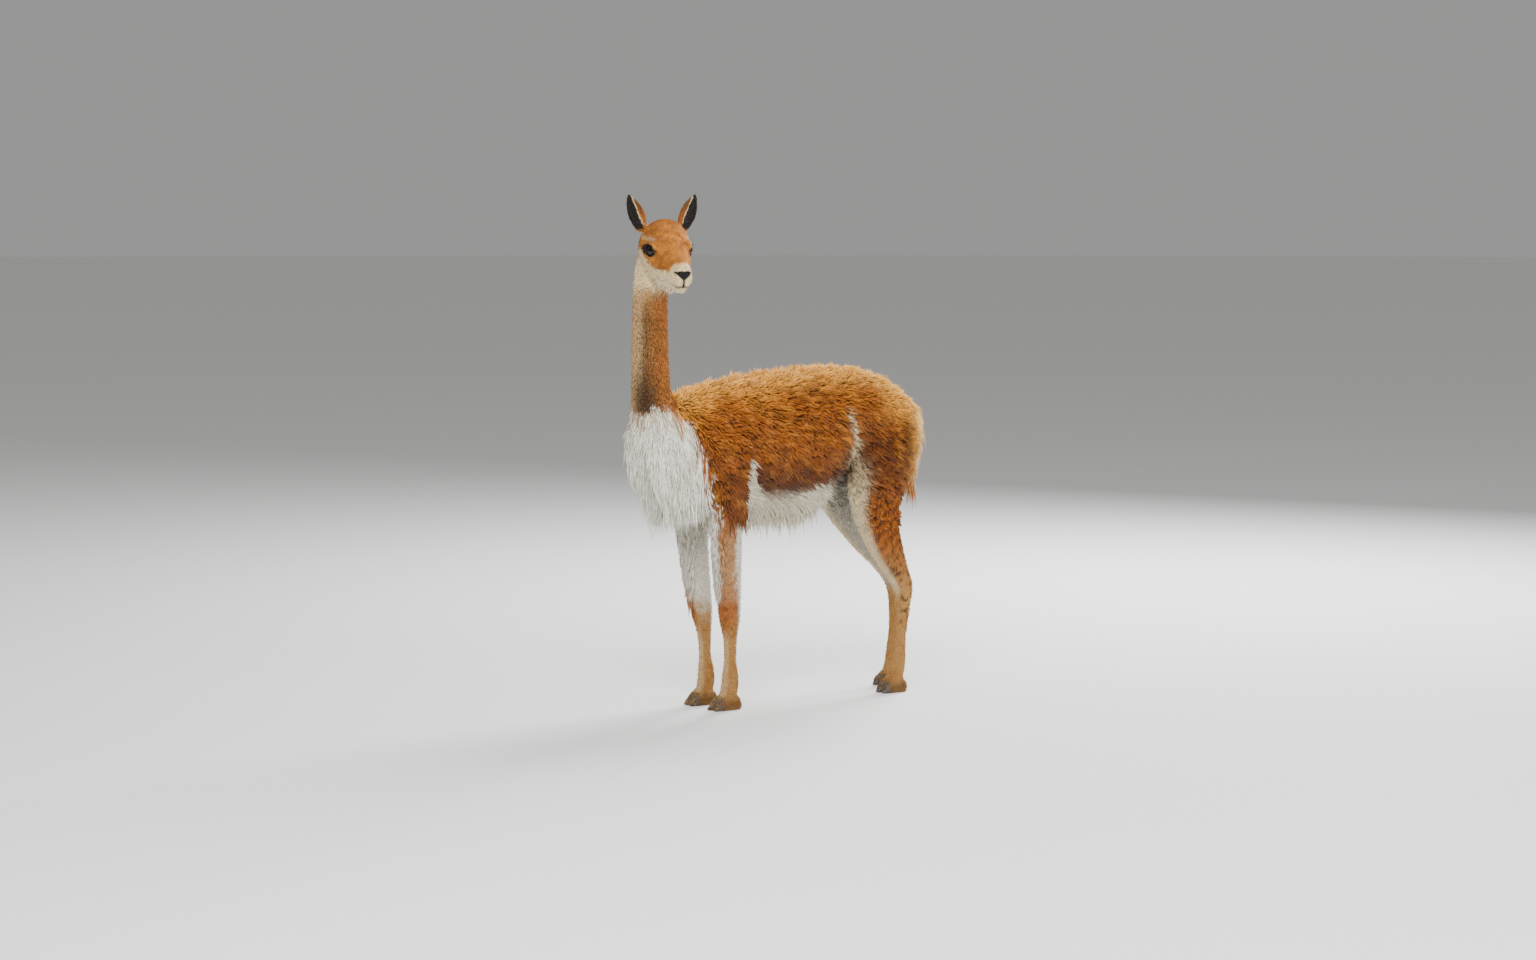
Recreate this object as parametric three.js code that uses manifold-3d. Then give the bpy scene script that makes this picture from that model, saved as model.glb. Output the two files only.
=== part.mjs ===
// A life-size standing vicuna, in millimetres, with +Z up. Its body points along -X and its head is turned to its
// left, towards -Y. The origin is on the floor, under the middle of the whole figure.
// The body is modelled whole, from sections stacked along it, and is then parted by thin cuts into named pieces.
import * as THREE from "three";
import { mergeVertices } from "three/addons/utils/BufferGeometryUtils.js";
import Module from "manifold-3d";

const wasm = await Module();
wasm.setup();

// Driving dimensions
const GAP = 0.3; // left between pieces that touch
const SHORTEST_EDGE = 0.05; // shorter ones, which cuts leave, are closed up
const TRUNK_FACES = [26, 24]; // round and along, as the next ones
const NECK_FACES = [20, 15];
const LIMB_FACES = [14, 18];
const TAIL_FACES = [12, 8];
const HEAD_FACES = [24, 20];
const EAR_FACES = [10, 8];
const TOE_FACES = [10, 6];
const BALL_FACES = 12;
const HEAD_TURN = 75; // degrees, from straight ahead to the animal's left
const HEAD_PITCH = 4; // degrees, nose down
const HEAD_AT = new THREE.Vector3(-478, -94, 1229); // midway between the eyes
const EYE_RADIUS = 19;
const EYE_OUT = 42; // from the head's middle plane to the eye's centre
const LID_THICKNESS = 3;
const LID_OPENING = 0.8; // height of the eye's opening as a share of its width
const BREAST_DOME = 6; // bulge of the rounded ends of the stacked bodies
const RUMP_DOME = 14;
const HEAD_DOME = 7;
const GROOVE_WIDTH = 2.6; // of the line of the mouth
const GROOVE_DEPTH = 3.5;
const EAR_LENGTH = 104;
const EAR_HALF_WIDTH = 21;
const EAR_SPLAY = 23; // degrees outwards from upright
const TOE_SPREAD = 13.5; // from the foot's middle to each toe's middle
const TOE_LENGTH = 50; // ahead of the middle of the fetlock
const NAIL_LENGTH = 20;

// Levels and places of the cuts between the pieces
const NECK_CUT = 852;
const THROAT_CUT = 1122;
const BREAST_CUT_TOP = { x: -425, z: 850 }; // the breast is parted along the line through these two points
const BREAST_CUT_FOOT = { x: -318, z: 500 };
const ELBOW_CUT = 548;
const STIFLE_CUT = 566;
const TAIL_CUT = 374;

// Long hair: how many locks, how far apart their roots stand, their size and how far their tips stand off.
const BIB = { count: 34, spacing: 41, length: 150, width: 52, thick: 11, lift: 9 };
const FRINGE = { count: 36, spacing: 20, length: 80, width: 40, thick: 10, lift: 8 };
const BRUSH = { count: 11, spacing: 26, length: 104, width: 32, thick: 11, lift: 10 };
const LOCK_TAPER = [0.5, 1, 0.8, 0.06]; // width from root to tip, as a share of the widest
const ROOT_SINK = 9; // depth of a root in the dense coat
const BIB_TOP = 826; // height below which the bib's locks grow
const BIB_TIP = 497; // height of the lowest tips of the bib, which rise ahead of BIB_SLOPE_FROM
const BIB_SLOPE_FROM = -420;
const BIB_SPAN = [-506, -345]; // along X, as the next one
const FRINGE_SPAN = [-262, 60];
const BREAST_MIDDLE = 718; // height of the foremost point of the breast
const SHORTEST_LOCK = 0.45; // as a share of the longest
const TAIL_TIP = 566; // height of the lowest tips of the tail
const HANG = 29; // how far the tips of the fringe reach below the dense coat

// Sections of the trunk's dense coat from breast to rump: place along X, top and bottom and half the width.
const TRUNK = [
  { x: -508, top: 784, bottom: 652, half: 50 },
  { x: -492, top: 812, bottom: 596, half: 90 },
  { x: -456, top: 829, bottom: 552, half: 113 },
  { x: -408, top: 848, bottom: 530, half: 124 },
  { x: -350, top: 866, bottom: 520, half: 129 },
  { x: -295, top: 878, bottom: 516, half: 135 },
  { x: -155, top: 896, bottom: 518, half: 143 },
  { x: 5, top: 908, bottom: 528, half: 151 },
  { x: 120, top: 910, bottom: 622, half: 153 },
  { x: 210, top: 894, bottom: 668, half: 146 },
  { x: 290, top: 854, bottom: 668, half: 128 },
  { x: 343, top: 812, bottom: 676, half: 98 },
  { x: 370, top: 776, bottom: 690, half: 60 },
];

// Level sections of the neck from inside the breast to inside the head: centre and half sizes.
const NECK = [
  { z: 640, x: -400, y: 0, long: 60, wide: 64 },
  { z: 740, x: -440, y: 0, long: 74, wide: 82 },
  { z: 800, x: -466, y: 0, long: 62, wide: 70 },
  { z: 850, x: -475, y: 0, long: 54, wide: 57 },
  { z: 910, x: -477, y: 0, long: 50, wide: 50 },
  { z: 980, x: -478, y: 0, long: 48, wide: 48 },
  { z: 1060, x: -480, y: -3, long: 46, wide: 47 },
  { z: 1130, x: -482, y: -8, long: 46, wide: 48 },
  { z: 1190, x: -483, y: -22, long: 49, wide: 50 },
  { z: 1244, x: -482, y: -34, long: 38, wide: 40 },
];

// Sections of the head from poll to nose: its place ahead of the eyes, its top and bottom and half its width.
const HEAD = [
  { ahead: -98, top: 40, bottom: -20, half: 30 },
  { ahead: -86, top: 60, bottom: -52, half: 53 },
  { ahead: -60, top: 75, bottom: -80, half: 67 },
  { ahead: -28, top: 78, bottom: -93, half: 67 },
  { ahead: 2, top: 66, bottom: -97, half: 59 },
  { ahead: 30, top: 36, bottom: -96, half: 48 },
  { ahead: 58, top: 6, bottom: -94, half: 38 },
  { ahead: 84, top: -13, bottom: -95, half: 32 },
  { ahead: 104, top: -22, bottom: -95, half: 29 },
  { ahead: 117, top: -31, bottom: -90, half: 25 },
];

// Level sections of the legs from inside the body to the fetlock.
const FORE_LEFT = [
  { z: 700, x: -280, y: -78, long: 66, wide: 42 },
  { z: 620, x: -284, y: -84, long: 62, wide: 45 },
  { z: 548, x: -287, y: -83, long: 54, wide: 41 },
  { z: 480, x: -287, y: -79, long: 48, wide: 36 },
  { z: 390, x: -281, y: -73, long: 43, wide: 31 },
  { z: 310, x: -275, y: -68, long: 39, wide: 29 },
  { z: 245, x: -270, y: -64, long: 34, wide: 28 },
  { z: 195, x: -266, y: -61, long: 24, wide: 22 },
  { z: 130, x: -265, y: -59, long: 20, wide: 19 },
  { z: 70, x: -264, y: -57, long: 24, wide: 22 },
  { z: 36, x: -272, y: -57, long: 24, wide: 23 },
];
const HIND_LEFT = [
  { z: 790, x: 240, y: -74, long: 84, wide: 52 },
  { z: 720, x: 230, y: -82, long: 112, wide: 62 },
  { z: 650, x: 216, y: -87, long: 110, wide: 59 },
  { z: 590, x: 204, y: -89, long: 98, wide: 53 },
  { z: 530, x: 197, y: -88, long: 84, wide: 47 },
  { z: 470, x: 208, y: -84, long: 72, wide: 41 },
  { z: 410, x: 234, y: -80, long: 62, wide: 35 },
  { z: 345, x: 273, y: -74, long: 48, wide: 29 },
  { z: 296, x: 303, y: -70, long: 38, wide: 25 },
  { z: 245, x: 309, y: -66, long: 28, wide: 22 },
  { z: 150, x: 302, y: -61, long: 22, wide: 19 },
  { z: 70, x: 294, y: -58, long: 24, wide: 22 },
  { z: 36, x: 284, y: -58, long: 23, wide: 24 },
];
// The right legs stand a little differently: the fore one slants back as it goes down, the hind one is set back.
const FORE_RIGHT_LEAN = 8; // further ahead at the elbow than at the foot
const HIND_RIGHT_BACK = 75; // further back at the hock and the foot

// Level sections of the tail's dense middle, down along its curve from the root.
const TAIL = [
  { z: 806, x: 333, long: 22, wide: 22 },
  { z: 786, x: 357, long: 27, wide: 27 },
  { z: 744, x: 380, long: 27, wide: 32 },
  { z: 690, x: 387, long: 23, wide: 31 },
  { z: 636, x: 381, long: 15, wide: 21 },
];

const COLOURS = {
  fleece: { color: 0xb8703a, roughness: 0.95, metalness: 0 },
  white: { color: 0xe6e2d6, roughness: 0.95, metalness: 0 },
  fawn: { color: 0xc79563, roughness: 0.9, metalness: 0 },
  face: { color: 0xc98549, roughness: 0.9, metalness: 0 },
  ear: { color: 0x8a6242, roughness: 0.9, metalness: 0 },
  horn: { color: 0x2a2522, roughness: 0.5, metalness: 0 },
  eye: { color: 0x0c0a0a, roughness: 0.08, metalness: 0 },
};

// The smooth value, at t from 0 to 1, of a row of numbers evenly spread over that range.
function along(row, t) {
  const place = t * (row.length - 1);
  const i = Math.min(Math.floor(place), row.length - 2);
  const s = place - i;
  const at = (k) => row[Math.min(Math.max(k, 0), row.length - 1)];
  const [a, b, c, d] = [at(i - 1), at(i), at(i + 1), at(i + 2)];
  return b + 0.5 * s * (c - a + s * (2 * a - 5 * b + 4 * c - d + s * (3 * (b - c) + d - a)));
}

// Every size of a list of sections at t, as one section.
function sectionAt(sections, t) {
  const keys = Object.keys(sections[0]);
  return Object.fromEntries(keys.map((key) => [key, along(sections.map((s) => s[key]), t)]));
}

// A closed skin over rings of points, with a pole at each end that may stand out as a low dome.
function skinOver(plain, startDome, endDome, turns = [0.6, 1.15]) {
  const dome = (ring, bulge, turn) => {
    const middle = new THREE.Vector3();
    for (const p of ring) middle.addScaledVector(p, 1 / ring.length);
    return ring.map((p) => middle.clone().lerp(p, Math.cos(turn)).addScaledVector(bulge, Math.sin(turn)));
  };
  const rings = [
    ...(startDome ? turns.map((turn) => dome(plain[0], startDome, turn)).reverse() : []),
    ...plain,
    ...(endDome ? turns.map((turn) => dome(plain[plain.length - 1], endDome, turn)) : []),
  ];
  const sides = rings[0].length;
  const points = rings.flat();
  const faces = [];
  for (let r = 0; r + 1 < rings.length; r++)
    for (let k = 0; k < sides; k++) {
      const [a, b] = [r * sides + k, r * sides + ((k + 1) % sides)];
      faces.push(a, b, b + sides, a, b + sides, a + sides);
    }
  for (const [start, flip] of [[0, true], [(rings.length - 1) * sides, false]]) {
    const pole = points.length;
    const middle = new THREE.Vector3();
    for (let k = 0; k < sides; k++) middle.addScaledVector(points[start + k], 1 / sides);
    points.push(middle);
    for (let k = 0; k < sides; k++) {
      const [a, b] = [start + k, start + ((k + 1) % sides)];
      faces.push(...(flip ? [b, a, pole] : [a, b, pole]));
    }
  }
  return new THREE.BufferGeometry().setFromPoints(points).setIndex(faces);
}

// A three.js geometry as a solid that can be joined and cut.
function solid(geometry) {
  const bare = geometry.clone();
  for (const name of Object.keys(bare.attributes)) if (name !== "position") bare.deleteAttribute(name);
  const merged = mergeVertices(bare, 1e-3);
  const mesh = new wasm.Mesh({
    numProp: 3,
    vertProperties: merged.attributes.position.array,
    triVerts: new Uint32Array(merged.index.array),
  });
  const made = new wasm.Manifold(mesh);
  if (made.volume() >= 0) return made;
  const index = merged.index.array;
  for (let i = 0; i < index.length; i += 3) [index[i + 1], index[i + 2]] = [index[i + 2], index[i + 1]];
  return solid(merged);
}

// The largest closed surface of a solid, as a three.js geometry.
function shapeOf(made) {
  const largest = made.decompose().reduce((a, b) => (b.volume() > a.volume() ? b : a));
  const mesh = largest.simplify(SHORTEST_EDGE).getMesh();
  return new THREE.BufferGeometry()
    .setAttribute("position", new THREE.BufferAttribute(new Float32Array(mesh.vertProperties), 3))
    .setIndex(new THREE.BufferAttribute(new Uint32Array(mesh.triVerts), 1));
}

const rim = (sides, k) => (2 * Math.PI * k) / sides;

// The trunk, stacked of upright sections along X.
function trunkSolid(grow = 0) {
  const [sides, steps] = TRUNK_FACES;
  const rings = [];
  for (let r = 0; r <= steps; r++) {
    const s = sectionAt(TRUNK, r / steps);
    const [middle, height] = [(s.top + s.bottom) / 2, (s.top - s.bottom) / 2 + grow];
    rings.push(
      Array.from({ length: sides }, (_, k) => {
        const [c, n] = [Math.cos(rim(sides, k)), Math.sin(rim(sides, k))];
        return new THREE.Vector3(s.x, (s.half + grow) * c * (1 - 0.06 * n), middle + height * n);
      }),
    );
  }
  const domes = [new THREE.Vector3(-BREAST_DOME - grow, 0, 0), new THREE.Vector3(RUMP_DOME + grow, 0, 0)];
  return solid(skinOver(rings, ...domes));
}

// A column stacked of level sections along Z.
function columnSolid(sections, [sides, steps], grow = 0) {
  const rings = [];
  for (let r = 0; r <= steps; r++) {
    const s = sectionAt(sections, r / steps);
    rings.push(
      Array.from(
        { length: sides },
        (_, k) =>
          new THREE.Vector3(
            s.x + (s.long + grow) * Math.cos(rim(sides, k)),
            (s.y ?? 0) + (s.wide + grow) * Math.sin(rim(sides, k)),
            s.z,
          ),
      ),
    );
  }
  return solid(skinOver(rings));
}

// The head's own frame: x ahead to the nose, y to its left and z up, from midway between the eyes.
const headFrame = new THREE.Matrix4()
  .makeTranslation(HEAD_AT.x, HEAD_AT.y, HEAD_AT.z)
  .multiply(new THREE.Matrix4().makeRotationZ(THREE.MathUtils.degToRad(180 + HEAD_TURN)))
  .multiply(new THREE.Matrix4().makeRotationY(THREE.MathUtils.degToRad(HEAD_PITCH)));

function inHead(geometry) {
  return geometry.applyMatrix4(headFrame);
}

function headSolid(grow = 0) {
  const [sides, steps] = HEAD_FACES;
  const rings = [];
  for (let r = 0; r <= steps; r++) {
    const s = sectionAt(HEAD, r / steps);
    const [middle, height] = [(s.top + s.bottom) / 2, (s.top - s.bottom) / 2 + grow];
    rings.push(
      Array.from({ length: sides }, (_, k) => {
        const [c, n] = [Math.cos(rim(sides, k)), Math.sin(rim(sides, k))];
        const fullness = Math.sign(c) * Math.abs(c) ** 0.86;
        return new THREE.Vector3(s.ahead, (s.half + grow) * fullness * (1 + 0.08 * n), middle + height * n);
      }),
    );
  }
  const domes = [new THREE.Vector3(-HEAD_DOME - grow, 0, 0), new THREE.Vector3(HEAD_DOME + grow, 0, 0)];
  return solid(inHead(skinOver(rings, ...domes)));
}

function ballAt(radius, at, stretch = [1, 1, 1]) {
  const ball = new THREE.SphereGeometry(radius, BALL_FACES, BALL_FACES / 2);
  return solid(inHead(ball.scale(...stretch).translate(...at)));
}

// The line of the mouth: a groove in the skin from one corner round the lips to the other, and up to the nose.
function mouthGroove() {
  const line = new THREE.CatmullRomCurve3(
    [[62, -66], [78, -72], [96, -77], [112, -77], [132, -74]].map(([x, z]) => new THREE.Vector3(x, z, 0)),
  ).getPoints(10);
  const strip = new THREE.Shape([
    ...line.map((p) => new THREE.Vector2(p.x, p.y + GROOVE_WIDTH / 2)),
    ...line.map((p) => new THREE.Vector2(p.x, p.y - GROOVE_WIDTH / 2)).reverse(),
  ]);
  const across = 2 * EYE_OUT;
  const slab = new THREE.ExtrudeGeometry(strip, { depth: across, bevelEnabled: false, steps: 1 })
    .rotateX(Math.PI / 2)
    .translate(0, across / 2, 0);
  const lipCleft = new THREE.BoxGeometry(12, GROOVE_WIDTH, 22).translate(126, 0, -64);
  return solid(inHead(slab)).add(solid(inHead(lipCleft))).subtract(headSolid(-GROOVE_DEPTH));
}

// An ear is a pointed leaf with a cup cut into its front.
function earSolid(side) {
  const leaf = (length, half, depth) => {
    const rings = [];
    const [sides, steps] = EAR_FACES;
    for (let r = 0; r <= steps; r++) {
      const t = r / steps;
      const swell = Math.sin(Math.PI * Math.min(0.22 + 0.76 * t, 0.985) ** 1.15);
      rings.push(
        Array.from(
          { length: sides },
          (_, k) =>
            new THREE.Vector3(
              depth * swell * Math.cos(rim(sides, k)),
              half * swell * Math.sin(rim(sides, k)),
              length * t,
            ),
        ),
      );
    }
    return skinOver(rings);
  };
  const place = (geometry) =>
    solid(
      inHead(
        geometry
          .rotateX(-side * THREE.MathUtils.degToRad(EAR_SPLAY))
          .rotateY(THREE.MathUtils.degToRad(-6))
          .translate(-62, side * 52, 44),
      ),
    );
  const cup = leaf(EAR_LENGTH * 0.9, EAR_HALF_WIDTH * 0.74, 13).translate(10, 0, 14);
  return place(leaf(EAR_LENGTH, EAR_HALF_WIDTH, 11)).subtract(place(cup));
}

// The same row of numbers from 0 to 1 at every run.
let seed = 7;

function random() {
  seed = (Math.imul(seed, 1664525) + 1013904223) >>> 0;
  return seed / 2 ** 32;
}

const between = (low, high) => low + (high - low) * random();

// How far along a list of sections, from 0 to 1, the named place has a given value.
function whereIs(sections, key, value) {
  let [low, high] = [0, 1];
  const rising = sections[sections.length - 1][key] > sections[0][key];
  for (let i = 0; i < 30; i++) {
    const t = (low + high) / 2;
    if (sectionAt(sections, t)[key] < value === rising) low = t;
    else high = t;
  }
  return (low + high) / 2;
}

// More than nothing outside the trunk and less inside it, and the same for the tail.
function offTrunk(p) {
  const s = sectionAt(TRUNK, whereIs(TRUNK, "x", p.x));
  const height = (s.top - s.bottom) / 2;
  const beside = (Math.hypot(p.y / s.half, (p.z - s.bottom - height) / height) - 1) * s.half;
  const before = TRUNK[0].x - p.x;
  return before > 0 ? Math.max(beside, 0) + before : beside;
}

function offTail(p) {
  const s = sectionAt(TAIL, whereIs(TAIL, "z", p.z));
  return (Math.hypot((p.x - s.x) / s.long, p.y / s.wide) - 1) * s.long;
}

// The way out of a body at a point, and about how far outside it the point lies.
function surfaceNear(off, p) {
  const slope = (x, y, z) => {
    const step = new THREE.Vector3(x, y, z);
    return (off(p.clone().add(step)) - off(p.clone().sub(step))) / 2;
  };
  const out = new THREE.Vector3(slope(1, 0, 0), slope(0, 1, 0), slope(0, 0, 1));
  const away = off(p) / out.length();
  return { out: out.normalize(), away };
}

// A flat lock that grows at a root, follows the body along the lie and hangs clear where the body turns under.
function lockSolid(kind, off, root, lie, size, lowest) {
  const steps = LOCK_TAPER.length - 1;
  const stride = Math.min(kind.length * size, root.z - lowest) / steps;
  const p = root.clone();
  const outs = [surfaceNear(off, root).out];
  const path = [root.clone().addScaledVector(outs[0], -ROOT_SINK)];
  for (let i = 1; i <= steps; i++) {
    const { out } = surfaceNear(off, p);
    const cling = THREE.MathUtils.smoothstep(out.z, -0.95, -0.2);
    const inwards = lie.dot(out);
    const way = lie.clone().addScaledVector(out, inwards < 0 ? -inwards : -inwards * cling);
    p.addScaledVector(way.normalize(), stride);
    const near = surfaceNear(off, p);
    const astray = near.away - kind.lift * THREE.MathUtils.lerp(0.4, 1, i / steps);
    p.addScaledVector(near.out, astray < 0 ? -astray : -astray * cling * 0.7);
    path.push(p.clone());
    outs.push(surfaceNear(off, p).out);
  }
  const rings = path.map((middle, i) => {
    const run = path[Math.min(i + 1, steps)].clone().sub(path[Math.max(i - 1, 0)]).normalize();
    const across = run.clone().cross(outs[i]).normalize();
    const out = across.clone().cross(run).normalize();
    const half = (LOCK_TAPER[i] * size) / 2;
    return [0, 1, 2, 3].map((k) =>
      middle
        .clone()
        .addScaledVector(across, Math.cos((k * Math.PI) / 2) * half * kind.width)
        .addScaledVector(out, Math.sin((k * Math.PI) / 2) * half * kind.thick),
    );
  });
  return solid(skinOver(rings));
}

// Locks of one kind, with roots spread evenly over the places that a function proposes.
function locksOver(kind, off, propose, lieAt, lowestAt) {
  const roots = [];
  for (let tries = 0; tries < 6000 && roots.length < kind.count; tries++) {
    const root = propose();
    const long = root && root.z - lowestAt(root) > SHORTEST_LOCK * kind.length;
    if (long && roots.every((other) => other.distanceTo(root) > kind.spacing)) roots.push(root);
  }
  const ragged = (root) => lowestAt(root) + between(-8, 8);
  return wasm.Manifold.union(
    roots.map((root) => lockSolid(kind, off, root, lieAt(root), between(0.85, 1.12), ragged(root))),
  );
}

const underTrunk = (root) => sectionAt(TRUNK, whereIs(TRUNK, "x", root.x)).bottom - HANG;

// A place on the trunk at random, with x and the angle round it (0 is level, downwards is positive) in ranges.
function onTrunk(xs, angles) {
  const s = sectionAt(TRUNK, whereIs(TRUNK, "x", between(...xs)));
  const angle = -THREE.MathUtils.degToRad(between(...angles));
  const side = random() < 0.5 ? -1 : 1;
  const height = (s.top - s.bottom) / 2;
  return new THREE.Vector3(s.x, side * s.half * Math.cos(angle), s.bottom + height * (1 + Math.sin(angle)));
}

// A toe reaches ahead from under the fetlock and is flat below.
function toeSolid(x, y) {
  const rings = [];
  const [sides, steps] = TOE_FACES;
  const sections = [
    { ahead: -27, top: 22, half: 6 },
    { ahead: -19, top: 36, half: 12 },
    { ahead: 4, top: 46, half: 14 },
    { ahead: 24, top: 38, half: 13.5 },
    { ahead: 40, top: 25, half: 11.5 },
    { ahead: TOE_LENGTH, top: 10, half: 6 },
  ];
  for (let r = 0; r <= steps; r++) {
    const s = sectionAt(sections, r / steps);
    rings.push(
      Array.from(
        { length: sides },
        (_, k) =>
          new THREE.Vector3(
            x - s.ahead,
            y + s.half * Math.cos(rim(sides, k)),
            s.top * 0.42 + s.top * 0.58 * Math.sin(rim(sides, k)),
          ),
      ),
    );
  }
  const domes = [new THREE.Vector3(2, 0, 0), new THREE.Vector3(-3, 0, 0)];
  return solid(skinOver(rings, ...domes, [0.9])).trimByPlane([0, 0, 1], 0);
}

const above = (made, z) => made.trimByPlane([0, 0, 1], z + GAP / 2);
const below = (made, z) => made.trimByPlane([0, 0, -1], -z + GAP / 2);

// Parts a body along the breast's sloping cut: way is 1 for what lies ahead of it and -1 for what lies behind.
function byBreast(made, way) {
  const [dx, dz] = [BREAST_CUT_FOOT.x - BREAST_CUT_TOP.x, BREAST_CUT_FOOT.z - BREAST_CUT_TOP.z];
  const normal = new THREE.Vector3(dz, 0, -dx).normalize().multiplyScalar(way);
  const reach = normal.x * BREAST_CUT_TOP.x + normal.z * BREAST_CUT_TOP.z;
  return made.trimByPlane(normal.toArray(), reach + GAP / 2);
}

const breastAt = (z) =>
  THREE.MathUtils.mapLinear(z, BREAST_CUT_FOOT.z, BREAST_CUT_TOP.z, BREAST_CUT_FOOT.x, BREAST_CUT_TOP.x);
const ahead = (made, x) => made.trimByPlane([-1, 0, 0], -x + GAP / 2);
const behind = (made, x) => made.trimByPlane([1, 0, 0], x + GAP / 2);

// A leg's sections on the other side, shifted along X by a function of their height.
function mirrored(sections, shift) {
  return sections.map((s) => ({ ...s, y: -s.y, x: s.x + shift(s.z) }));
}

const legs = {
  fore_left: FORE_LEFT,
  fore_right: mirrored(FORE_LEFT, (z) => -FORE_RIGHT_LEAN * THREE.MathUtils.clamp((z - 60) / 490, 0, 1)),
  hind_left: HIND_LEFT,
  hind_right: mirrored(HIND_LEFT, (z) => HIND_RIGHT_BACK * THREE.MathUtils.smoothstep(700 - z, 60, 400)),
};

const group = new THREE.Group();

function addPiece(name, made, finish) {
  const mesh = new THREE.Mesh(shapeOf(made), new THREE.MeshStandardMaterial(COLOURS[finish]));
  mesh.name = name;
  group.add(mesh);
}

const trunk = trunkSolid();
const neck = columnSolid(NECK, NECK_FACES);
const tail = columnSolid(TAIL, TAIL_FACES);
const head = headSolid();

// Legs and feet
const legsGrown = [];
let whole = trunk.add(neck);
const trunkGrown = trunkSolid(GAP);
for (const [name, sections] of Object.entries(legs)) {
  const limb = columnSolid(sections, LIMB_FACES);
  const cut = name.startsWith("fore") ? ELBOW_CUT : STIFLE_CUT;
  whole = whole.add(above(limb, cut));
  let leg = below(limb, cut).subtract(trunkGrown);
  const foot = sections[sections.length - 1];
  const nailStart = foot.x + 4 - (TOE_LENGTH - NAIL_LENGTH);
  const nails = {};
  for (const [toe, way] of Object.entries({ inner: -1, outer: 1 })) {
    const made = toeSolid(foot.x + 4, foot.y + way * Math.sign(foot.y) * TOE_SPREAD);
    nails[toe] = ahead(made, nailStart);
    leg = leg.add(behind(made, nailStart));
  }
  legsGrown.push(below(columnSolid(sections, LIMB_FACES, GAP), cut + GAP));
  addPiece(`leg_${name}`, leg, "fawn");
  for (const [toe, nail] of Object.entries(nails)) addPiece(`nail_${name}_${toe}`, nail, "horn");
}

// Trunk, neck and tail, with their long hair
const bib = locksOver(
  BIB,
  offTrunk,
  () => {
    const root = onTrunk(BIB_SPAN, [-58, 90]);
    if (random() < 0.08) {
      const outwards = random() * 0.4;
      root.set(TRUNK[0].x - 2, root.y * outwards, THREE.MathUtils.lerp(BREAST_MIDDLE, root.z, outwards));
    }
    return root.x < breastAt(root.z) - BIB.width / 2 && root.z < BIB_TOP ? root : null;
  },
  (root) => new THREE.Vector3(0.12 * random(), between(-0.12, 0.12), -1).normalize(),
  (root) => BIB_TIP + Math.max(0, BIB_SLOPE_FROM - root.x) * 0.35,
);
const fringe = locksOver(
  FRINGE,
  offTrunk,
  () => {
    const root = onTrunk(FRINGE_SPAN, [40, 64]);
    return root.x > breastAt(root.z) + FRINGE.width ? root : null;
  },
  (root) => new THREE.Vector3(between(0.1, 0.4), Math.sign(root.y) * 0.05, -1).normalize(),
  underTrunk,
);
const brush = locksOver(
  BRUSH,
  offTail,
  () => {
    const s = sectionAt(TAIL, between(0.3, 0.98));
    const angle = THREE.MathUtils.degToRad(between(-100, 100));
    return new THREE.Vector3(s.x + s.long * Math.cos(angle), s.wide * Math.sin(angle), s.z);
  },
  (root) => new THREE.Vector3(-0.12, -Math.sign(root.y) * 0.1, -1).normalize(),
  () => TAIL_TIP,
);
const neckGrown = columnSolid(NECK, NECK_FACES, GAP);
const clear = (made) => legsGrown.reduce((left, leg) => left.subtract(leg), made);
const trunkAlone = whole.subtract(above(neckGrown, NECK_CUT - GAP));
addPiece("chest", byBreast(trunkAlone.add(clear(bib)), 1), "white");
addPiece("torso", ahead(byBreast(trunkAlone.add(clear(fringe)), -1), TAIL_CUT), "fleece");
addPiece("neck", below(above(neck, NECK_CUT), THROAT_CUT), "fleece");
addPiece("tail", behind(tail.add(trunk).add(clear(brush)), TAIL_CUT), "fleece");

// Head
const headGrown = headSolid(GAP);
let skull = head.add(above(neck, THROAT_CUT));
for (const [name, side] of Object.entries({ left: 1, right: -1 })) {
  const eye = [4, side * EYE_OUT, 0];
  const brow = ballAt(22, [-2, side * 38, 18], [1.4, 0.85, 0.55]);
  const lids = ballAt(EYE_RADIUS + LID_THICKNESS, eye, [1.1, 1, 1]);
  const opening = ballAt(EYE_RADIUS, [7, side * (EYE_OUT + 15), -1], [0.98, 1.2, LID_OPENING]);
  const socket = ballAt(EYE_RADIUS + GAP, eye);
  const lip = ballAt(12, [108, side * 9, -64], [1.2, 1.15, 1]);
  skull = skull.add(brow).add(lip).add(lids).subtract(opening).subtract(socket);
  addPiece(`eye_${name}`, ballAt(EYE_RADIUS, eye), "eye");
  addPiece(`ear_${name}`, earSolid(side).subtract(headGrown), "ear");
  const nostril = new THREE.SphereGeometry(1, 8, 6).scale(9, 5, 3.2).rotateZ(side * -0.9).rotateY(0.5);
  skull = skull.subtract(solid(inHead(nostril.translate(120, side * 11, -50))));
}
skull = skull.subtract(mouthGroove());
addPiece("head", skull, "face");

// The origin goes on the floor under the middle of the whole.
const box = new THREE.Box3().setFromObject(group);
const middle = box.getCenter(new THREE.Vector3());
group.position.set(-middle.x, -middle.y, 0);

export default group;
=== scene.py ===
"""A life-size standing vicuna: its skin, coat, eyes, lashes, nails and nose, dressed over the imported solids.

Lengths in the tables are millimetres in the body's own frame, where the animal faces -X, its left is -Y and the
floor is at zero. own_to_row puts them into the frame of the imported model, in metres.
"""

import math

import bpy
import numpy as np
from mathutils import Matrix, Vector
from mathutils.bvhtree import BVHTree


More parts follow.
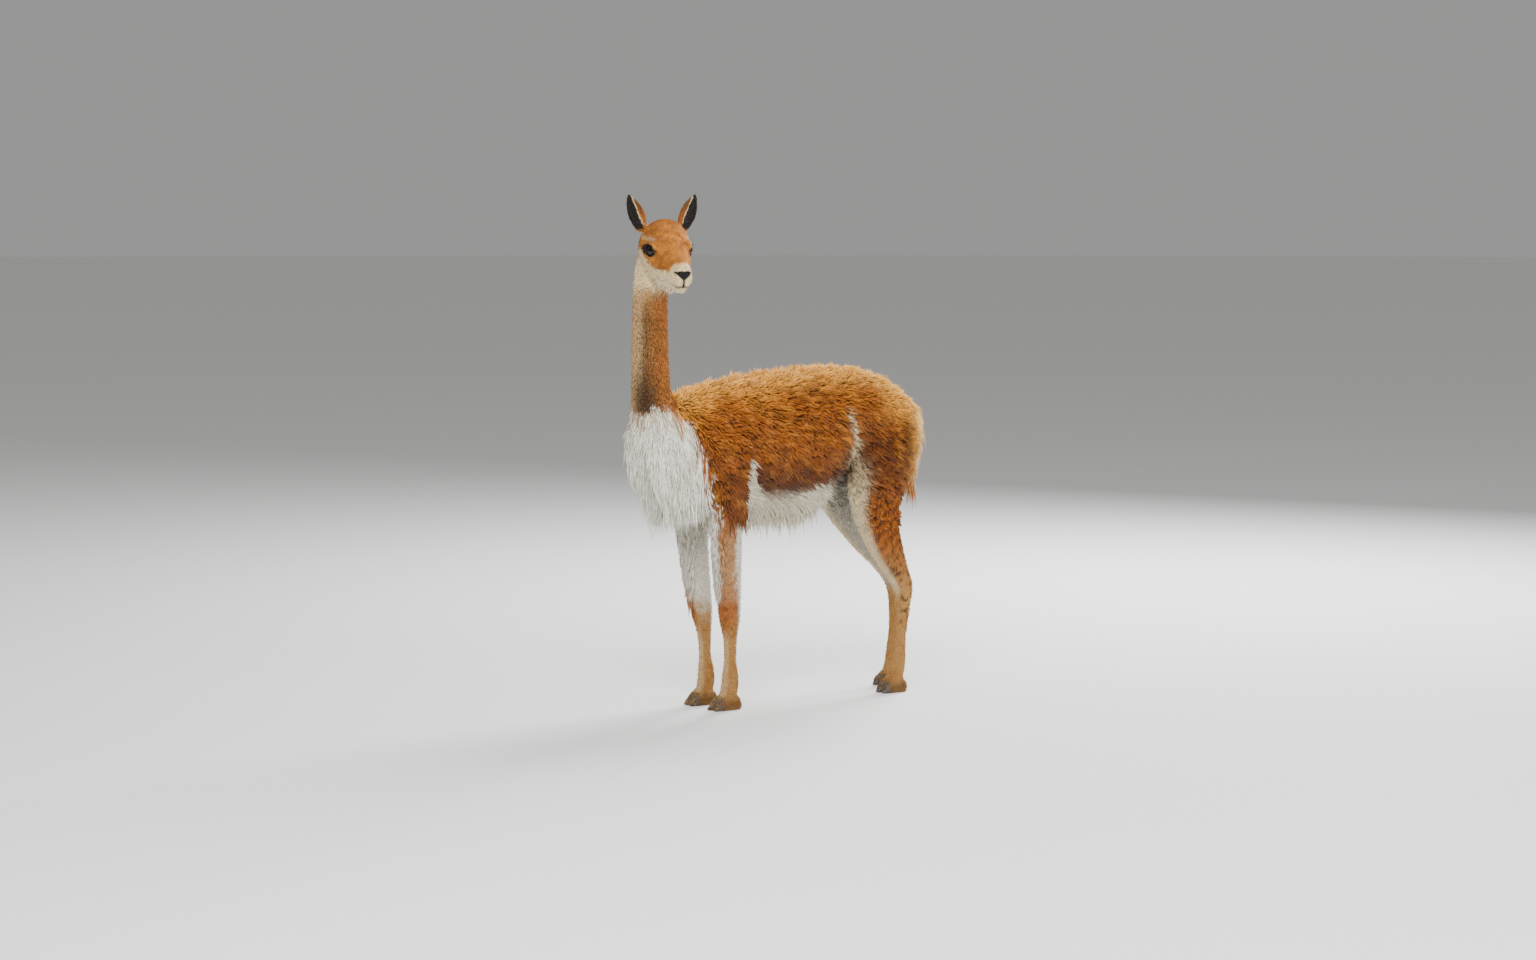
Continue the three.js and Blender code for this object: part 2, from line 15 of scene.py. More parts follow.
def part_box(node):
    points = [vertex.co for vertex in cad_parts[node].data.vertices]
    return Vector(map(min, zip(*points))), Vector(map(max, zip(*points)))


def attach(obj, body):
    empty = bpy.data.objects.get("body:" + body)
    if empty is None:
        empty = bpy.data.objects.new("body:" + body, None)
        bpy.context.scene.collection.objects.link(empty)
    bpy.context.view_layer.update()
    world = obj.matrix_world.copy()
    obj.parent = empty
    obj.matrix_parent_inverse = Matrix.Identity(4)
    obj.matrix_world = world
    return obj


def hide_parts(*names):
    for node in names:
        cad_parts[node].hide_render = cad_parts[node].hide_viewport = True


bl_info = {
    "name": "Life-size vicuna",
    "version": (1, 0, 0),
    "blender": (4, 5, 0),
    "location": "3D View > Sidebar > Vicuna",
    "description": "Builds the skin, coat, eyes, nails and stage of a standing vicuna",
    "category": "Object",
}

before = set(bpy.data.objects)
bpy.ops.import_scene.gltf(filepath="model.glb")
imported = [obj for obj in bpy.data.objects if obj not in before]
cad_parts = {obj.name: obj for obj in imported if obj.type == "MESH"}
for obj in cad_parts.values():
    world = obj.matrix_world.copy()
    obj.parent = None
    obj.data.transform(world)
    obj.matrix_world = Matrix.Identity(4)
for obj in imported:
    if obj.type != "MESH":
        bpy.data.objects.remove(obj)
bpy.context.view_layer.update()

MM = 0.001

# Sections of the trunk, breast to rump: place along X, top, bottom and half width, out to the dense coat.
TRUNK = np.array([
    (-508, 784, 652, 50), (-492, 812, 596, 90), (-456, 829, 552, 113), (-408, 848, 530, 124),
    (-350, 866, 520, 129), (-295, 878, 516, 135), (-155, 896, 518, 143), (5, 908, 528, 151),
    (120, 910, 622, 153), (210, 894, 668, 146), (290, 854, 668, 128), (343, 812, 676, 98),
    (370, 776, 690, 60),
], float)

# Level sections, as height, middle along X and Y, and half sizes along X and Y.
NECK = np.array([
    (640, -400, 0, 60, 64), (740, -440, 0, 74, 82), (800, -466, 0, 62, 70), (850, -475, 0, 54, 57),
    (910, -477, 0, 50, 50), (980, -478, 0, 48, 48), (1060, -480, -3, 46, 47), (1130, -482, -8, 46, 48),
    (1190, -483, -22, 49, 50), (1244, -482, -34, 38, 40),
], float)
FORE_LEG = np.array([
    (700, -280, 78, 66, 42), (620, -284, 84, 62, 45), (548, -287, 83, 54, 41), (480, -287, 79, 48, 36),
    (390, -281, 73, 43, 31), (310, -275, 68, 39, 29), (245, -270, 64, 34, 28), (195, -266, 61, 24, 22),
    (130, -265, 59, 20, 19), (70, -264, 57, 24, 22), (36, -272, 57, 24, 23),
], float)
HIND_LEG = np.array([
    (790, 240, 74, 84, 52), (720, 230, 82, 112, 62), (650, 216, 87, 110, 59), (590, 204, 89, 98, 53),
    (530, 197, 88, 84, 47), (470, 208, 84, 72, 41), (410, 234, 80, 62, 35), (345, 273, 74, 48, 29),
    (296, 303, 70, 38, 25), (245, 309, 66, 28, 22), (150, 302, 61, 22, 19), (70, 294, 58, 24, 22),
    (36, 284, 58, 23, 24),
], float)
TAIL = np.array([
    (806, 333, 0, 22, 22), (786, 357, 0, 27, 27), (744, 380, 0, 27, 32), (690, 387, 0, 23, 31),
    (636, 381, 0, 15, 21),
], float)
FORE_RIGHT_LEAN = 8
HIND_RIGHT_BACK = 75

# The head's own frame lies midway between the eyes: x ahead to the nose, y to the animal's left, z up.
HEAD_AT = np.array((-478, -94, 1229), float)
HEAD_TURN = 75
HEAD_PITCH = 4
# Sections of the head, poll to nose: place ahead of the eyes, top, bottom and half width.
HEAD = np.array([
    (-98, 40, -20, 30), (-86, 60, -52, 53), (-60, 75, -80, 67), (-28, 78, -93, 67), (2, 66, -97, 59),
    (30, 36, -96, 48), (58, 6, -94, 38), (84, -13, -95, 32), (104, -22, -95, 29), (117, -31, -90, 25),
], float)
EYE_AT = np.array((4, 42, 0), float)
EYE_RADIUS = 19
MOUTH_LINE = np.array([(58, -65), (70, -70), (84, -77), (98, -83), (112, -86), (134, -86)], float)
NOSTRIL_AT = np.array((121, 13, -49), float)
# Height of the edge between the orange face and the pale cheek, from behind the eye to the nose.
PALE_EDGE = np.array([(-100, -110), (-84, -96), (-66, -30), (-48, -2), (-26, -6), (-9, -22), (17, -42), (49, -47), (90, -47),
                      (104, -38), (112, -31), (130, -31)], float)

EAR_AT = np.array((-62, 52, 44), float)
EAR_LENGTH = 104
EAR_HALF_WIDTH = 21
EAR_SPLAY = 23
EAR_LEAN = -6

# A toe: place ahead of the foot's middle, height and half width.
TOE = np.array([(-27, 22, 6), (-19, 36, 12), (4, 46, 14), (24, 38, 13.5), (40, 25, 11.5), (50, 10, 6)], float)
TOE_SPREAD = 13.5

LEGS = {
    "fore_left": (FORE_LEG, -1, 0),
    "fore_right": (FORE_LEG, 1, 1),
    "hind_left": (HIND_LEG, -1, 0),
    "hind_right": (HIND_LEG, 1, 2),
}
PARTS = ["trunk", "neck", "head", *LEGS, "tail", "ear_left", "ear_right"]
TRUNK_PART, NECK_PART, HEAD_PART, TAIL_PART, EAR_PART = 0, 1, 2, 7, 8

# The corners and the size of each part's patch on the unwrapped skin.
CHARTS = np.array([
    (.01, .01, .48, .58), (.76, .01, .23, .29), (.51, .01, .23, .38), (.51, .41, .23, .28), (.76, .41, .23, .28),
    (.51, .71, .23, .28), (.76, .71, .23, .28), (.01, .62, .2, .3), (.23, .62, .12, .3), (.37, .62, .12, .3),
])
TUFT_PATCH = 0.003

# Height of the edge between the rust flank and the white belly, and place of the edge of the white bib.
BELLY_EDGE = np.array([(-300, 480), (-266, 490), (-252, 690), (-238, 670), (-222, 618), (-205, 586), (-170, 572), (-114, 580),
                       (-60, 596), (-20, 612), (30, 600), (60, 560), (300, 520)], float)
BIB_EDGE = np.array([(480, -314), (514, -320), (600, -346), (675, -370), (760, -404), (806, -432)], float)

TABLE_STEPS = 400


def turned(axis, degrees):
    """A turn about one axis as a matrix."""
    c, s = math.cos(math.radians(degrees)), math.sin(math.radians(degrees))
    return {
        "x": np.array([[1, 0, 0], [0, c, -s], [0, s, c]]),
        "y": np.array([[c, 0, s], [0, 1, 0], [-s, 0, c]]),
        "z": np.array([[c, -s, 0], [s, c, 0], [0, 0, 1]]),
    }[axis]


HEAD_WAY = turned("z", 180 + HEAD_TURN) @ turned("y", HEAD_PITCH)


def from_head(points):
    return points @ HEAD_WAY.T + HEAD_AT


def to_head(points):
    return (points - HEAD_AT) @ HEAD_WAY


def place_of_own_frame():
    """Where the own frame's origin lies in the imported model, found from the two eyes."""
    corners = [corner for side in ("left", "right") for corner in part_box(f"eye_{side}")]
    middle = np.mean([list(corner) for corner in corners], axis=0)
    return middle - from_head(EYE_AT * (1, 0, 1)) * MM


OWN_ORIGIN = place_of_own_frame()


def own_to_row(points):
    return points * MM + OWN_ORIGIN


def row_to_own(points):
    return (points - OWN_ORIGIN) / MM


def along(sections, t):
    """Every column of a table at each t from 0 to 1, smoothly between its rows."""
    t = np.clip(np.atleast_1d(t), 0, 1)
    place = t * (len(sections) - 1)
    i = np.minimum(place.astype(int), len(sections) - 2)
    s = (place - i)[:, None]
    a, b, c, d = (sections[np.clip(i + k, 0, len(sections) - 1)] for k in (-1, 0, 1, 2))
    return b + 0.5 * s * (c - a + s * (2 * a - 5 * b + 4 * c - d + s * (3 * (b - c) + d - a)))


def share_at(sections, values):
    """How far along a table, from 0 to 1, its first column has each value."""
    dense = np.linspace(0, 1, TABLE_STEPS)
    firsts = along(sections, dense)[:, 0]
    order = np.argsort(firsts)
    return np.interp(values, firsts[order], dense[order])


def ramp(low, high, values):
    """A smooth rise from 0 at low to 1 at high."""
    s = np.clip((values - low) / (high - low), 0, 1)
    return s * s * (3 - 2 * s)


def mixed(a, b, share):
    return a + (b - a) * np.asarray(share)[..., None]


def unit(vectors):
    return vectors / np.maximum(np.linalg.norm(vectors, axis=-1, keepdims=True), 1e-9)


def waves(points, size, seed, count=7):
    """A smooth mottle from -1 to 1 whose blotches are about size across."""
    draw = np.random.default_rng(seed)
    ways = unit(draw.normal(size=(count, 3))) * draw.uniform(0.7, 1.5, (count, 1)) * 2 * np.pi / size
    phases = draw.uniform(0, 2 * np.pi, count)
    total = np.sin(points @ ways.T + phases + 1.3 * np.sin(points[:, [1, 2, 0]] @ ways[::-1].T * 0.6))
    return np.clip(total.sum(1) / math.sqrt(count), -1, 1)


def cracks(points):
    """1 in the partings between clumps of fleece, which run mostly along the body, and 0 on the clumps. The coat's
    colour is darkened there as painted shade.
    """
    stretched = points * (0.42, 0.8, 1.15)
    wide = ramp(0.8, 1, 1 - np.abs(waves(stretched, 52, 4))) * ramp(-0.35, 0.25, waves(points, 70, 61))
    fine = ramp(0.78, 1, 1 - np.abs(waves(stretched, 27, 62))) * ramp(-0.2, 0.4, waves(points, 44, 63))
    return np.maximum(wide, 0.8 * fine)


def leg_table(name):
    """The sections of one leg, on its own side and in its own stance."""
    sections, side, stance = LEGS[name]
    table = sections.copy()
    table[:, 2] *= side
    heights = table[:, 0]
    if stance == 1:
        table[:, 1] -= FORE_RIGHT_LEAN * np.clip((heights - 60) / 490, 0, 1)
    if stance == 2:
        table[:, 1] += HIND_RIGHT_BACK * ramp(60, 400, 700 - heights)
    return table


LEG_TABLES = [leg_table(name) for name in LEGS]


# The body's shape


def coordinates(piece):
    flat = np.zeros(len(piece.data.vertices) * 3)
    piece.data.vertices.foreach_get("co", flat)
    return flat.reshape(-1, 3)


def set_coordinates(piece, points):
    piece.data.vertices.foreach_set("co", np.ascontiguousarray(points, dtype=np.float32).ravel())
    piece.data.update()


def deselect():
    bpy.ops.object.select_all(action="DESELECT")


def ball(name, sides, rings):
    """A unit sphere to be shaped, with its points."""
    deselect()
    bpy.ops.mesh.primitive_uv_sphere_add(segments=sides, ring_count=rings)
    made = bpy.context.object
    made.name = name
    return made, coordinates(made)


def stacked(name, sides, rings, ring_at, start_bulge, end_bulge, end=0.1):
    """A sphere whose rings are moved onto sections. ring_at gives their middles and two half axes."""
    made, points = ball(name, sides, rings)
    share = np.arccos(np.clip(points[:, 2], -1, 1)) / np.pi
    angle = np.arctan2(points[:, 1], points[:, 0])
    middle, across, up = ring_at(np.clip((share - end) / (1 - 2 * end), 0, 1))
    before = np.clip((end - share) / end, 0, 1) * np.pi / 2
    after = np.clip((share - 1 + end) / end, 0, 1) * np.pi / 2
    shrink = (np.cos(before) * np.cos(after))[:, None]
    shaped = middle + shrink * (across * np.cos(angle)[:, None] + up * np.sin(angle)[:, None])
    shaped += np.sin(before)[:, None] * start_bulge + np.sin(after)[:, None] * end_bulge
    set_coordinates(made, shaped)
    return made


def upright(table, inset):
    """Rings of the trunk or head, which are upright and stacked along X."""

    def ring_at(t):
        s = along(table, t)
        zero = np.zeros(len(s))
        middle = np.stack([s[:, 0], zero, (s[:, 1] + s[:, 2]) / 2], 1)
        across = np.stack([zero, s[:, 3] - inset, zero], 1)
        up = np.stack([zero, zero, (s[:, 1] - s[:, 2]) / 2 - inset], 1)
        return middle, across, up

    return ring_at


def level(table, inset):
    """Rings of a neck, leg or tail, which are level and stacked along Z."""

    def ring_at(t):
        s = along(table, t)
        zero = np.zeros(len(s))
        inward = inset(s[:, 0]) if callable(inset) else inset
        middle = np.stack([s[:, 1], s[:, 2], s[:, 0]], 1)
        across = np.stack([s[:, 3] - inward, zero, zero], 1)
        up = np.stack([zero, s[:, 4] - inward, zero], 1)
        return middle, across, up

    return ring_at


def column(name, table, inset, sides=32, rings=60, bulge=10):
    down = -1 if table[0, 0] > table[-1, 0] else 1
    lift = np.array((0, 0, bulge * down), float)
    return stacked(name, sides, rings, level(table, inset), -lift, lift, end=0.05)


def modified(piece, kind, **settings):
    """Adds one modifier with its settings and applies it."""
    bpy.context.view_layer.objects.active = piece
    added = piece.modifiers.new(kind.lower(), kind)
    for key, value in settings.items():
        setattr(added, key, value)
    bpy.ops.object.modifier_apply(modifier=added.name)
    return piece


def joined(pieces):
    """One object from several, as one mesh."""
    deselect()
    for piece in pieces:
        piece.select_set(True)
    bpy.context.view_layer.objects.active = pieces[0]
    bpy.ops.object.join()
    return bpy.context.object


def remeshed(piece, voxel, smoothing):
    """Melts the joined forms into one even skin."""
    modified(piece, "REMESH", mode="VOXEL", voxel_size=voxel, use_smooth_shade=True)
    return modified(piece, "SMOOTH", factor=0.5, iterations=smoothing)


def cut(piece, cutter, operation="DIFFERENCE"):
    bpy.context.view_layer.objects.active = piece
    added = piece.modifiers.new("cut", "BOOLEAN")
    added.operation = operation
    added.solver = "MANIFOLD"
    added.object = cutter
    bpy.ops.object.modifier_apply(modifier=added.name)
    bpy.data.objects.remove(cutter, do_unlink=True)
    return piece


def trunk_form(coat):
    """The trunk without its coat, with a little belly and shoulder."""
    return stacked("trunk", 64, 90, upright(TRUNK, coat), np.array((-6, 0, 0)), np.array((14, 0, 0)), end=0.04)


def body_skin(sizes):
    """Trunk, neck, legs down to the fetlocks and the tail's middle, as one skin."""
    leg_coat = sizes.leg_coat / MM
    pieces = [trunk_form(sizes.trunk_coat / MM)]
    neck = NECK[NECK[:, 0] < 1150]
    pieces.append(column("neck", neck, lambda z: leg_coat + 3 * ramp(900, 800, z)))
    for name, table in zip(LEGS, LEG_TABLES):
        pieces.append(column(name, table, lambda z: leg_coat * ramp(0, 300, z + 120) + 6 * ramp(380, 640, z)))
    pieces.append(column("tail", TAIL, 8, rings=30))
    return remeshed(joined(pieces), 6.8, 6)


def toe_form(x, y):
    """One toe, flat below, reaching ahead from under the fetlock."""

    def ring_at(t):
        s = along(TOE, t)
        zero = np.zeros(len(s))
        middle = np.stack([x - s[:, 0], y + zero, s[:, 1] * 0.42], 1)
        across = np.stack([zero, s[:, 2] - 1, zero], 1)
        up = np.stack([zero, zero, s[:, 1] * 0.58 - 1], 1)
        return middle, across, up

    return stacked("toe", 24, 30, ring_at, np.array((2, 0, 0)), np.array((-3, 0, 0)), end=0.08)


def foot_skin(table):
    """The pastern and two toes of one leg."""
    foot = table[-1]
    shin = table[table[:, 0] < 160]
    pieces = [column("pastern", shin, lambda z: 2.5 + 3 * ramp(80, 140, z), rings=30, bulge=4)]
    for side in (-1, 1):
        pieces.append(toe_form(foot[1] - 4 + 8, foot[2] + side * TOE_SPREAD))
    made = remeshed(joined(pieces), 3.2, 2)
    points = coordinates(made)
    points[:, 2] = np.maximum(points[:, 2], 0.4)
    set_coordinates(made, points)
    return made


def head_ball(name, radius, at, stretch=(1, 1, 1)):
    made, points = ball(name, 40, 24)
    set_coordinates(made, points * radius * stretch + at)
    return made


def ear_leaf(side, length, half, depth, shift):
    """A pointed leaf in the head's frame, to be an ear or the cup cut into it."""
    made, points = ball("ear", 36, 40)
    t = np.arccos(np.clip(-points[:, 2], -1, 1)) / np.pi
    angle = np.arctan2(points[:, 1], points[:, 0])
    swell = np.sin(np.pi * np.minimum(0.22 + 0.76 * t, 0.985) ** 1.15) * np.minimum(1, 12 * (1 - t) * t + 0.35)
    leaf = np.stack([depth * swell * np.cos(angle), half * swell * np.sin(angle), length * t], 1) + shift
    turn = turned("y", EAR_LEAN) @ turned("x", -side * EAR_SPLAY)
    set_coordinates(made, leaf @ turn.T + EAR_AT * (1, side, 1))
    return made


def in_place(piece):
    """From the head's frame to the body's own."""
    set_coordinates(piece, from_head(coordinates(piece)))
    return piece


def head_skin(sizes):
    """Head, brows, cheeks, lids, lips and ears, with eye openings, nostrils and the line of the mouth."""
    coat = sizes.head_coat / MM
    pieces = [stacked("head", 64, 80, upright(HEAD, coat), np.array((-7, 0, 0)), np.array((7, 0, 0)), end=0.05)]
    for side in (-1, 1):
        pieces.append(head_ball("lids", EYE_RADIUS + 3, EYE_AT * (1, side, 1), (1.1, 1, 1)))
        pieces.append(head_ball("brow", 21, (-2, side * 37, 18), (1.5, 0.85, 0.5)))
        pieces.append(head_ball("cheek", 20, (30, side * 29, -52), (1.9, 0.72, 1.1)))
        pieces.append(head_ball("lip", 12, (108, side * 10, -67), (1.25, 1.15, 1.15)))
        pieces.append(head_ball("nose", 9, (114, side * 9, -44), (1.2, 1.1, 0.95)))
        pieces.append(ear_leaf(side, EAR_LENGTH, EAR_HALF_WIDTH, 10, (0, 0, 0)))
    pieces.append(head_ball("chin", 13, (97, 0, -90), (1.3, 1.1, 0.7)))
    throat = NECK[NECK[:, 0] > 1050]
    neck = column("throat", throat, 6, rings=30, bulge=3)
    set_coordinates(neck, to_head(coordinates(neck)))
    made = remeshed(joined([*pieces, neck]), 2.15, 3)
    for side in (-1, 1):
        cup = ear_leaf(side, EAR_LENGTH * 0.9, EAR_HALF_WIDTH * 0.76, 12.5, (9.6, 0, 13))
        made = cut(made, cup)
        made = cut(made, head_ball("socket", EYE_RADIUS + 0.35, EYE_AT * (1, side, 1)))
        made = cut(made, head_ball("opening", EYE_RADIUS, (9, side * 61, -0.5), (1.06, 0.9, 0.82)))
    return in_place(carved_head(made))


def carved_head(piece):
    """Presses the mouth, the split of the lip and the nostrils into the skin."""
    points = coordinates(piece)
    normals = np.zeros(len(points) * 3)
    piece.data.vertices.foreach_get("normal", normals)
    normals = normals.reshape(-1, 3)
    x, y, z = points.T
    line = np.interp(x, MOUTH_LINE[:, 0], MOUTH_LINE[:, 1])
    ahead = ramp(54, 70, x)
    depth = 4.2 * np.exp(-((z - line) / 1.9) ** 2) * ahead
    depth += 3.2 * np.exp(-(y / 1.7) ** 2) * ramp(108, 114, x) * ramp(-87, -83, z) * ramp(-44, -52, z)
    for side in (-1, 1):
        away = (points - NOSTRIL_AT * (1, side, 1)) @ turned("x", -side * 32)
        depth += 8 * np.exp(-(away[:, 1] / 6.5) ** 2 - (away[:, 2] / 2.8) ** 2) * ramp(104, 110, x)
        depth += 2 * np.exp(-((np.hypot(away[:, 1] / 1.4, away[:, 2]) - 9) / 2) ** 2) * ramp(98, 106, x)
    set_coordinates(piece, points - normals * depth[:, None])
    return piece


class Skin:
    """The finished skin as arrays in the own frame: what the coat is rooted in and combed over."""

    points = faces = normals = areas = middles = tree = parts = None


SKIN = Skin()


def parts_of(points):
    """The part of the body that each point belongs to, as its place in PARTS."""
    x, y, z = points.T
    part = np.full(len(points), TRUNK_PART)
    for k, table in enumerate(LEG_TABLES):
        s = along(table, share_at(table, z))
        away = np.hypot((x - s[:, 1]) / s[:, 3], (y - s[:, 2]) / s[:, 4])
        top = 545 if k < 2 else 640
        part[(z < top) & (away < 1.35)] = 3 + k
    part[(z < 490) & (part == TRUNK_PART)] = 3
    for k, table in enumerate(LEG_TABLES):
        nearest = (np.sign(y) == np.sign(table[0, 2])) & ((x > -60) == (k > 1))
        part[(z < 490) & nearest] = 3 + k
    collar = np.hypot((x + 474) / 66, y / 68) < 1.08
    part[((z > 868) | (collar & (z > 838))) & (x < -400)] = NECK_PART
    s = along(TAIL, share_at(TAIL, z))
    tail = (z < 800) & (z > 600) & (np.hypot((x - s[:, 1]) / s[:, 3], y / s[:, 4]) < 1.3) & (x > 366)
    part[tail] = TAIL_PART
    h = to_head(points)
    in_head = (z > 1122) & ((h[:, 0] > -102) & (h[:, 2] > -100))
    part[in_head] = HEAD_PART
    for side, number in ((-1, EAR_PART + 1), (1, EAR_PART)):
        up = (h[:, 2] > 62) & (h[:, 1] * side > 44) & (h[:, 0] < -30)
        part[in_head & (up | (h[:, 2] > 84)) & (h[:, 1] * side > 0)] = number
    return part


def chart_places(points, parts, angle_near=None, part_near=None):
    """Where each point falls on the unwrapped skin: along its part and round it."""
    parts = parts if part_near is None else part_near
    x, y, z = points.T
    h = to_head(points)
    run = np.zeros(len(points))
    angle = np.zeros(len(points))
    for number in range(len(PARTS)):
        own = parts == number
        if not own.any():
            continue
        if number == TRUNK_PART:
            run[own] = (x[own] + 520) / 910
            angle[own] = np.arctan2(z[own] - 700, y[own])
        elif number == NECK_PART:
            run[own] = (z[own] - 840) / 340
            angle[own] = np.arctan2(y[own], -(x[own] + 478))
        elif number == HEAD_PART:
            run[own] = (h[own, 0] + 110) / 245
            angle[own] = np.arctan2(h[own, 1], -(h[own, 2] + 25))
        elif number == TAIL_PART:
            run[own] = (z[own] - 600) / 220
            angle[own] = np.arctan2(y[own], x[own] - 378)
        elif number >= EAR_PART:
            side = 1 if number == EAR_PART else -1
            run[own] = (h[own, 2] - 55) / 100
            lean = EAR_AT[1] + (h[own, 2] - EAR_AT[2]) * math.tan(math.radians(EAR_SPLAY))
            angle[own] = np.arctan2(h[own, 1] * side - lean, h[own, 0] + 64)
        else:
            table = LEG_TABLES[number - 3]
            s = along(table, share_at(table, z[own]))
            run[own] = z[own] / 660
            angle[own] = np.arctan2(y[own] - s[:, 2], x[own] - s[:, 1])
    if angle_near is not None:
        angle = angle_near + (angle - angle_near + np.pi) % (2 * np.pi) - np.pi
    left, low, wide, high = CHARTS[parts].T
    u = left + wide * (0.02 + 0.96 * np.clip(run, 0, 1))
    v = low + high * (0.5 + 0.96 * angle / (2 * np.pi))
    return np.stack([u, v], 1), angle


# The markings, as linear colours


def linear(red, green, blue):
    """A colour in light, from the usual 0 to 255 of a colour chart."""
    s = np.array((red, green, blue), float) / 255
    return np.where(s <= 0.04045, s / 12.92, ((s + 0.055) / 1.055) ** 2.4)


GOLD = linear(228, 151, 48)
# Pale gold: painted light on fleece that faces up and on the backlit rump; it also lightens the hip.
SUNLIT = linear(240, 180, 76)
CINNAMON = linear(164, 90, 18)
RUST = linear(114, 58, 9)
# Umber: the flecks and the base of the neck, and the painted shade in the partings and low on the flanks.
UMBER = linear(52, 27, 8)
FAWN = linear(180, 134, 74)
CREAM = linear(240, 216, 166)
WHITE = linear(242, 240, 224)
GREY = linear(160, 154, 138)
# Nearly black: the lids, lips and ear tips, and the painted shadow in the groin.
DARK = linear(24, 18, 15)
EAR_BACK = linear(112, 70, 30)
# Painted shade inside the ear's cup.
EAR_CUP_SHADE = linear(24, 18, 13)
NOSE_BLACK = linear(22, 19, 19)


def crease_at(z):
    """How far back the pale crease between the flank and the thigh lies at each height."""
    return 66 + (800 - z) * 0.16


def trunk_colours(points, normals):
    x, y, z = points.T
    s = along(TRUNK, share_at(TRUNK, x))
    height = (z - s[:, 2]) / (s[:, 1] - s[:, 2])
    colour = mixed(np.broadcast_to(RUST, points.shape), CINNAMON, ramp(0.12, 0.6, height + 0.12 * waves(points, 90, 1)))
    colour = mixed(colour, GOLD, 0.75 * ramp(0.72, 1.02, height + 0.1 * waves(points, 60, 2)))
    colour = mixed(colour, GOLD, 0.3 * ramp(0, 1, waves(points * (0.5, 1, 1), 34, 3)))
    colour = mixed(colour, RUST, 0.35 * ramp(-0.2, 0.9, waves(points * (0.5, 1, 1), 110, 64)))
    # Painted shade: the partings between the clumps of fleece are darkened to umber.
    colour = mixed(colour, UMBER, 0.9 * cracks(points) * ramp(0.1, 0.4, height))
    # Painted shade: the low flank between the forelegs and the thighs is darkened to umber.
    colour = mixed(colour, UMBER, 0.75 * ramp(0.48, 0.12, height) * ramp(170, 90, x) * ramp(-290, -220, x))
    colour = mixed(colour, GOLD, 0.85 * ramp(130, 250, x) * ramp(0.25, 0.7, height))
    colour = mixed(colour, SUNLIT, 0.5 * ramp(130, 240, x) * ramp(0.35, 0.8, height))
    # Painted light: towards the rump's edge the fleece is painted pale gold and cream, as the backlight that shines
    # through its hair.
    colour = mixed(colour, SUNLIT, 0.6 * ramp(240, 320, x))
    colour = mixed(colour, CREAM, 0.3 * ramp(270, 340, x) * ramp(0.3, 0.7, height))
    # Painted light: fleece that faces up is lightened to pale gold, except in the partings.
    colour = mixed(colour, SUNLIT, 0.55 * ramp(0.55, 0.95, normals[:, 2]) * (1 - cracks(points)))
    # Painted light: a pale cream rim at the rump's edge, as the backlit halo of its hair.
    colour = mixed(colour, CREAM, 0.75 * ramp(282, 350, x + 8 * waves(points, 40, 5)) * ramp(0.95, 0.4, height))
    low = ramp(780, 650, z)
    crease = np.exp(-np.clip(np.abs(x - crease_at(z) - 12 * low + 5 * waves(points, 30, 65)) / (9 + 22 * low), 0, 3) ** 2.6)
    crease *= ramp(480, 520, z) * ramp(815, 770, z) * ramp(60, 105, np.abs(y))
    colour = mixed(colour, mixed(CREAM, GREY, 0.35), 0.85 * crease * ramp(-1.3, 0.1, waves(points * (1, 1, 0.4), 16, 66)))
    edge = np.interp(x, BELLY_EDGE[:, 0], BELLY_EDGE[:, 1]) + 9 * waves(points, 30, 6)
    white = ramp(10, -8, z - edge) * ramp(60, 20, x)
    # The white belly and underside are painted darker and creamier, as the shade under the belly.
    under = ramp(-0.45, -0.75, normals[:, 2]) * ramp(640, 600, z) * ramp(330, 250, x)
    colour = mixed(colour, mixed(WHITE, CREAM, 0.35) * 0.84, np.maximum(white, under))
    # Painted shadow: a dark patch where the gap between the thighs lies in shade.
    groin_shadow = ramp(20, 50, x) * ramp(150, 110, x) * ramp(690, 650, z) * ramp(98, 84, np.abs(y))
    colour = mixed(colour, DARK, 0.75 * groin_shadow)
    bib = np.interp(z, BIB_EDGE[:, 0], BIB_EDGE[:, 1]) + 7 * waves(points, 24, 7)
    colour = mixed(colour, WHITE, ramp(7, -7, x - bib) * ramp(818, 794, z + 6 * waves(points, 20, 8)))
    colour = mixed(colour, neck_colours(points, normals), ramp(7, -7, x - bib) * ramp(796, 820, z))
    streak = np.exp(-((y + 34 + 8 * waves(points, 60, 9)) / 9) ** 2) * ramp(800, 760, z) * ramp(560, 620, z)
    return mixed(colour, GREY, 0.35 * streak * ramp(-0.2, -0.6, normals[:, 0]))


